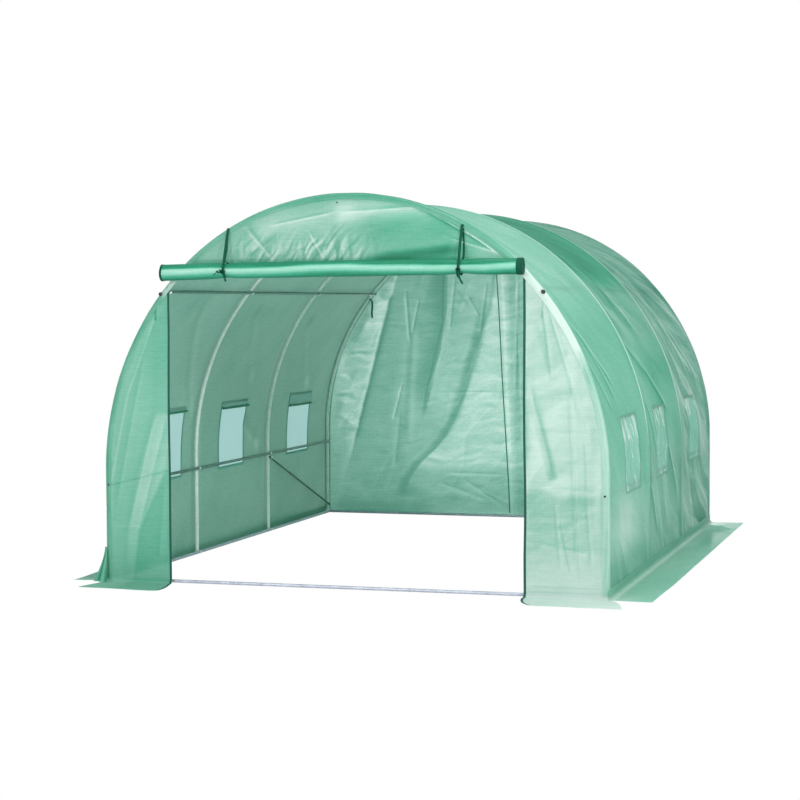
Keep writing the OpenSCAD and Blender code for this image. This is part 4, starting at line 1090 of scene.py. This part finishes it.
def tie(sgn, name):
    x0 = sgn * TIE_X + (-0.008 if sgn < 0 else -0.02)
    part = Parts()
    r = ROLL_R * 0.88 + 0.004
    cz = ROLL_Z + 0.013
    top = np.array([x0, -HALF_L - 0.006, float(TOP_CZ + math.sqrt(TOP_R**2 - TIE_X**2)) - 0.004])
    around = [np.array([x0, ROLL_Y + r * 1.03 * math.cos(a), cz + r * math.sin(a)]) for a in np.linspace(2.6, 2.6 + 2 * math.pi - 1.4, 26)]
    path = smooth_path([top, top * 0.5 + around[0] * 0.5 + np.array([0, -0.004, 0])] + around, 110)
    G, C = ribbon(path, 0.016, np.array([1.0, 0, 0]))
    part.grid(G, C)
    # second strand, on the wall side
    path2 = smooth_path([top + np.array([0.004 * sgn, 0.001, -0.004]), top + np.array([sgn * 0.010, -0.004, -0.12]), around[-1] + np.array([sgn * 0.014, 0.004, 0.02]), around[-1] + np.array([sgn * 0.010, 0, 0])], 40)
    G, C = ribbon(path2, 0.012, np.array([1.0, 0, 0]))
    part.grid(G, C)
    knot = np.array([x0, ROLL_Y - r - 0.006, cz - 0.012])
    for a, wide in ((0.0, 0.013), (1.1, 0.011)):
        ring = [knot + np.array([0.011 * math.cos(b + a), -0.005 * math.sin(2 * b) - 0.003, 0.010 * math.sin(b + a)]) for b in np.linspace(0, 6.4, 14)]
        G, C = ribbon(smooth_path(ring, 40), wide, np.array([0.3, 1.0, 0.2]))
        part.grid(G, C)
    if sgn < 0:
        tails = [
            ([(0, 0, 0), (-0.020, -0.008, 0.004), (-0.044, -0.006, -0.010), (-0.056, -0.002, -0.020)], 0.015),
            ([(0, 0, 0), (0.008, -0.007, -0.016), (0.014, -0.004, -0.040), (0.019, -0.002, -0.056)], 0.013),
            ([(0, 0, 0), (-0.016, -0.010, 0.010), (-0.032, -0.012, 0.004), (-0.018, -0.008, -0.006), (0, 0, 0)], 0.013),
        ]
    else:
        tails = [
            ([(0, 0, 0), (0.006, -0.006, -0.030), (0.014, -0.005, -0.056), (0.028, -0.003, -0.080)], 0.014),
            ([(0, 0, 0), (-0.004, -0.008, -0.016), (-0.001, -0.006, -0.034), (0.006, -0.003, -0.046)], 0.012),
        ]
    for pts, wide in tails:
        G, C = ribbon(smooth_path(knot + np.array(pts), 30), wide, np.array([0.55, 0.75, 0.35]))
        part.grid(G, C)
    ob = part.object(name, TAPE)
    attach(ob, "root")
    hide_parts("left_door_tie" if sgn < 0 else "right_door_tie")


tie(-1, "left_door_tie_tape")
tie(1, "right_door_tie_tape")

lace = Parts()
for sx in (-1, 1):
    for sy in (-1, 1):
        # round the hoop, then the tail hangs free
        x, z, nx, nz = (float(k) for k in arch(np.array(ROOF_RAIL_P - 0.055), HOOP_IN))
        rr = HOOP_R + 0.0016
        pts = [[sx * (x - nx * rr * math.sin(a)), sy * (HOOP_Y[3] - rr * math.cos(a)), z - nz * rr * math.sin(a)] for a in np.linspace(0.5, math.pi + 0.35, 16)]
        k0 = np.array(pts[8]) + np.array([-sx * 0.004, -sy * 0.012, -0.002])
        G, C = ribbon(smooth_path(pts, 40), 0.014, np.array([-sx * nz, 0.0, nx]))
        lace.grid(G, C)
        tail = smooth_path(k0 + np.array([[0, 0, 0], [-sx * 0.010, -sy * 0.002, -0.010], [-sx * 0.013, -sy * 0.004, -0.05], [-sx * 0.010, -sy * 0.003, -0.10], [-sx * 0.013, -sy * 0.005, -0.142]]), 40)
        G, C = ribbon(tail, 0.014, np.array([0.75, 0.65, 0.0]))
        lace.grid(G, C)
lace_ob = lace.object("cover_tie_tapes", TAPE)
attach(lace_ob, "root")
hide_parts("cover_ties")

# ------------------------------------------------------------------ clips and bolt caps of the front hoop, outside the cover

caps = Parts()
for s in (-1, 1):
    x, z, nx, nz = (float(k) for k in arch(np.array(1.772), HOOP_IN))
    n = np.array([s * nx * 0.62, -0.78, nz * 0.62])
    n /= np.linalg.norm(n)
    g = 0.0085
    caps.turned([(1.5 * g, 0), (1.55 * g, 0.25 * g), (1.3 * g, 0.5 * g), (1.15 * g, 0.6 * g), (1.1 * g, 1.1 * g), (0.7 * g, 1.4 * g), (0.15 * g, 1.5 * g)], np.array([s * x, HOOP_Y[0], z]) + n * (HOOP_IN + 0.003), n, 16)
    x, z, nx, nz = (float(k) for k in arch(np.array(SIDE_RAIL_Z + 0.01), HOOP_IN))
    g = 0.0048
    caps.turned([(1.5 * g, 0), (1.55 * g, 0.25 * g), (1.2 * g, 0.5 * g), (0.85 * g, 1.2 * g), (0.15 * g, 1.6 * g)], (s * (x - 0.006), -HALF_L - 0.0028, z), (0, -1, 0), 16)
caps.turned([(0.0050, 0), (0.0052, 0.0012), (0.0040, 0.0024), (0.0030, 0.0040), (0.0010, 0.0046)], (-0.05, -HALF_L - 0.003, HEIGHT - 0.052), (0, -1, 0), 16)
cap_ob = caps.object("bolt_caps", KNOB)
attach(cap_ob, "root")

# ------------------------------------------------------------------ stage, light, camera

floor_k = Nodes("floor")
way = floor_k.new("ShaderNodeLightPath")
plain = floor_k.new("ShaderNodeBsdfDiffuse", in_Color=(0.82, 0.82, 0.82, 1))
# white to the camera, a little less so behind film
level = floor_k.step(way.outputs["Transparent Depth"], 0.4, 0.6, 1.0, 0.66)
white = floor_k.new("ShaderNodeEmission", in_Color=(1, 1, 1, 1), in_Strength=level)
both = floor_k.new("ShaderNodeMixShader", in_0=way.outputs["Is Camera Ray"], in_1=plain.outputs[0], in_2=white.outputs[0])
floor_k.link(both.outputs[0], floor_k.out.inputs[0])
floor = mesh_object("floor", [(-40, -40, -0.002), (40, -40, -0.002), (40, 40, -0.002), (-40, 40, -0.002)], [(0, 1, 2, 3)], floor_k.mat, False)

world = bpy.data.worlds.new("studio")
bpy.context.scene.world = world
world.use_nodes = True
wt = world.node_tree
wt.nodes.clear()
wo = wt.nodes.new("ShaderNodeOutputWorld")
lp = wt.nodes.new("ShaderNodeLightPath")
level = wt.nodes.new("ShaderNodeMapRange")
for i, k in enumerate((0.4, 0.6, 1.0, 0.66)):
    level.inputs[i + 1].default_value = k
soft = wt.nodes.new("ShaderNodeBackground")
soft.inputs[0].default_value = (0.97, 0.985, 1.0, 1)
soft.inputs[1].default_value = 0.52
plain = wt.nodes.new("ShaderNodeBackground")
plain.inputs[0].default_value = (1, 1, 1, 1)
pick = wt.nodes.new("ShaderNodeMixShader")
wt.links.new(lp.outputs["Transparent Depth"], level.inputs[0])
wt.links.new(level.outputs[0], plain.inputs[1])
wt.links.new(lp.outputs["Is Camera Ray"], pick.inputs[0])
wt.links.new(soft.outputs[0], pick.inputs[1])
wt.links.new(plain.outputs[0], pick.inputs[2])
wt.links.new(pick.outputs[0], wo.inputs[0])


def area_light(name, at, to, size, power, colour=(1, 1, 1)):
    li = bpy.data.lights.new(name, "AREA")
    li.shape = "RECTANGLE"
    li.size, li.size_y = size
    li.energy = power
    li.color = colour
    ob = bpy.data.objects.new(name, li)
    ob.location = at
    ob.rotation_euler = (Vector(to) - Vector(at)).to_track_quat("-Z", "Y").to_euler()
    bpy.context.scene.collection.objects.link(ob)
    return ob


area_light("key", (4.2, -6.8, 4.2), (0.8, -2.0, 1.1), (1.6, 1.6), 240)
area_light("top", (0.5, -1.5, 7.0), (0.2, 0.0, 0), (5, 5), 260)
area_light("door", (-1.8, -7.5, 2.4), (-0.4, 1.0, 0.9), (2.0, 1.6), 135)
area_light("right", (7.0, -1.5, 3.2), (1.2, 0.2, 0.9), (3.0, 2.0), 150)
area_light("rear", (-0.2, 5.0, 0.8), (-0.2, 2.0, 1.0), (2.6, 0.9), 150)

scene = bpy.context.scene
scene.view_settings.view_transform = "Standard"
scene.view_settings.look = "None"
scene.view_settings.exposure = 0.0

FOCUS, YAW, PITCH, ROLL = 1957.5, 0.2933, -0.0483, -0.0047
fw = Vector((-math.sin(YAW) * math.cos(PITCH), math.cos(YAW) * math.cos(PITCH), math.sin(PITCH)))
rt = fw.cross(Vector((0, 0, 1))).normalized()
upv = rt.cross(fw)
c, s = math.cos(ROLL), math.sin(ROLL)
right, up = rt * c + upv * s, upv * c - rt * s
cam = bpy.data.cameras.new("camera")
cam.sensor_fit = "HORIZONTAL"
cam.sensor_width = 36.0
cam.lens = FOCUS / 800 * 36.0
cam.clip_end = 200
co = bpy.data.objects.new("camera", cam)
co.matrix_world = Matrix(((right.x, up.x, -fw.x, 3.4878), (right.y, up.y, -fw.y, -12.5083), (right.z, up.z, -fw.z, 1.6166), (0, 0, 0, 1)))
bpy.context.scene.collection.objects.link(co)
scene.camera = co

bpy.context.view_layer.update()
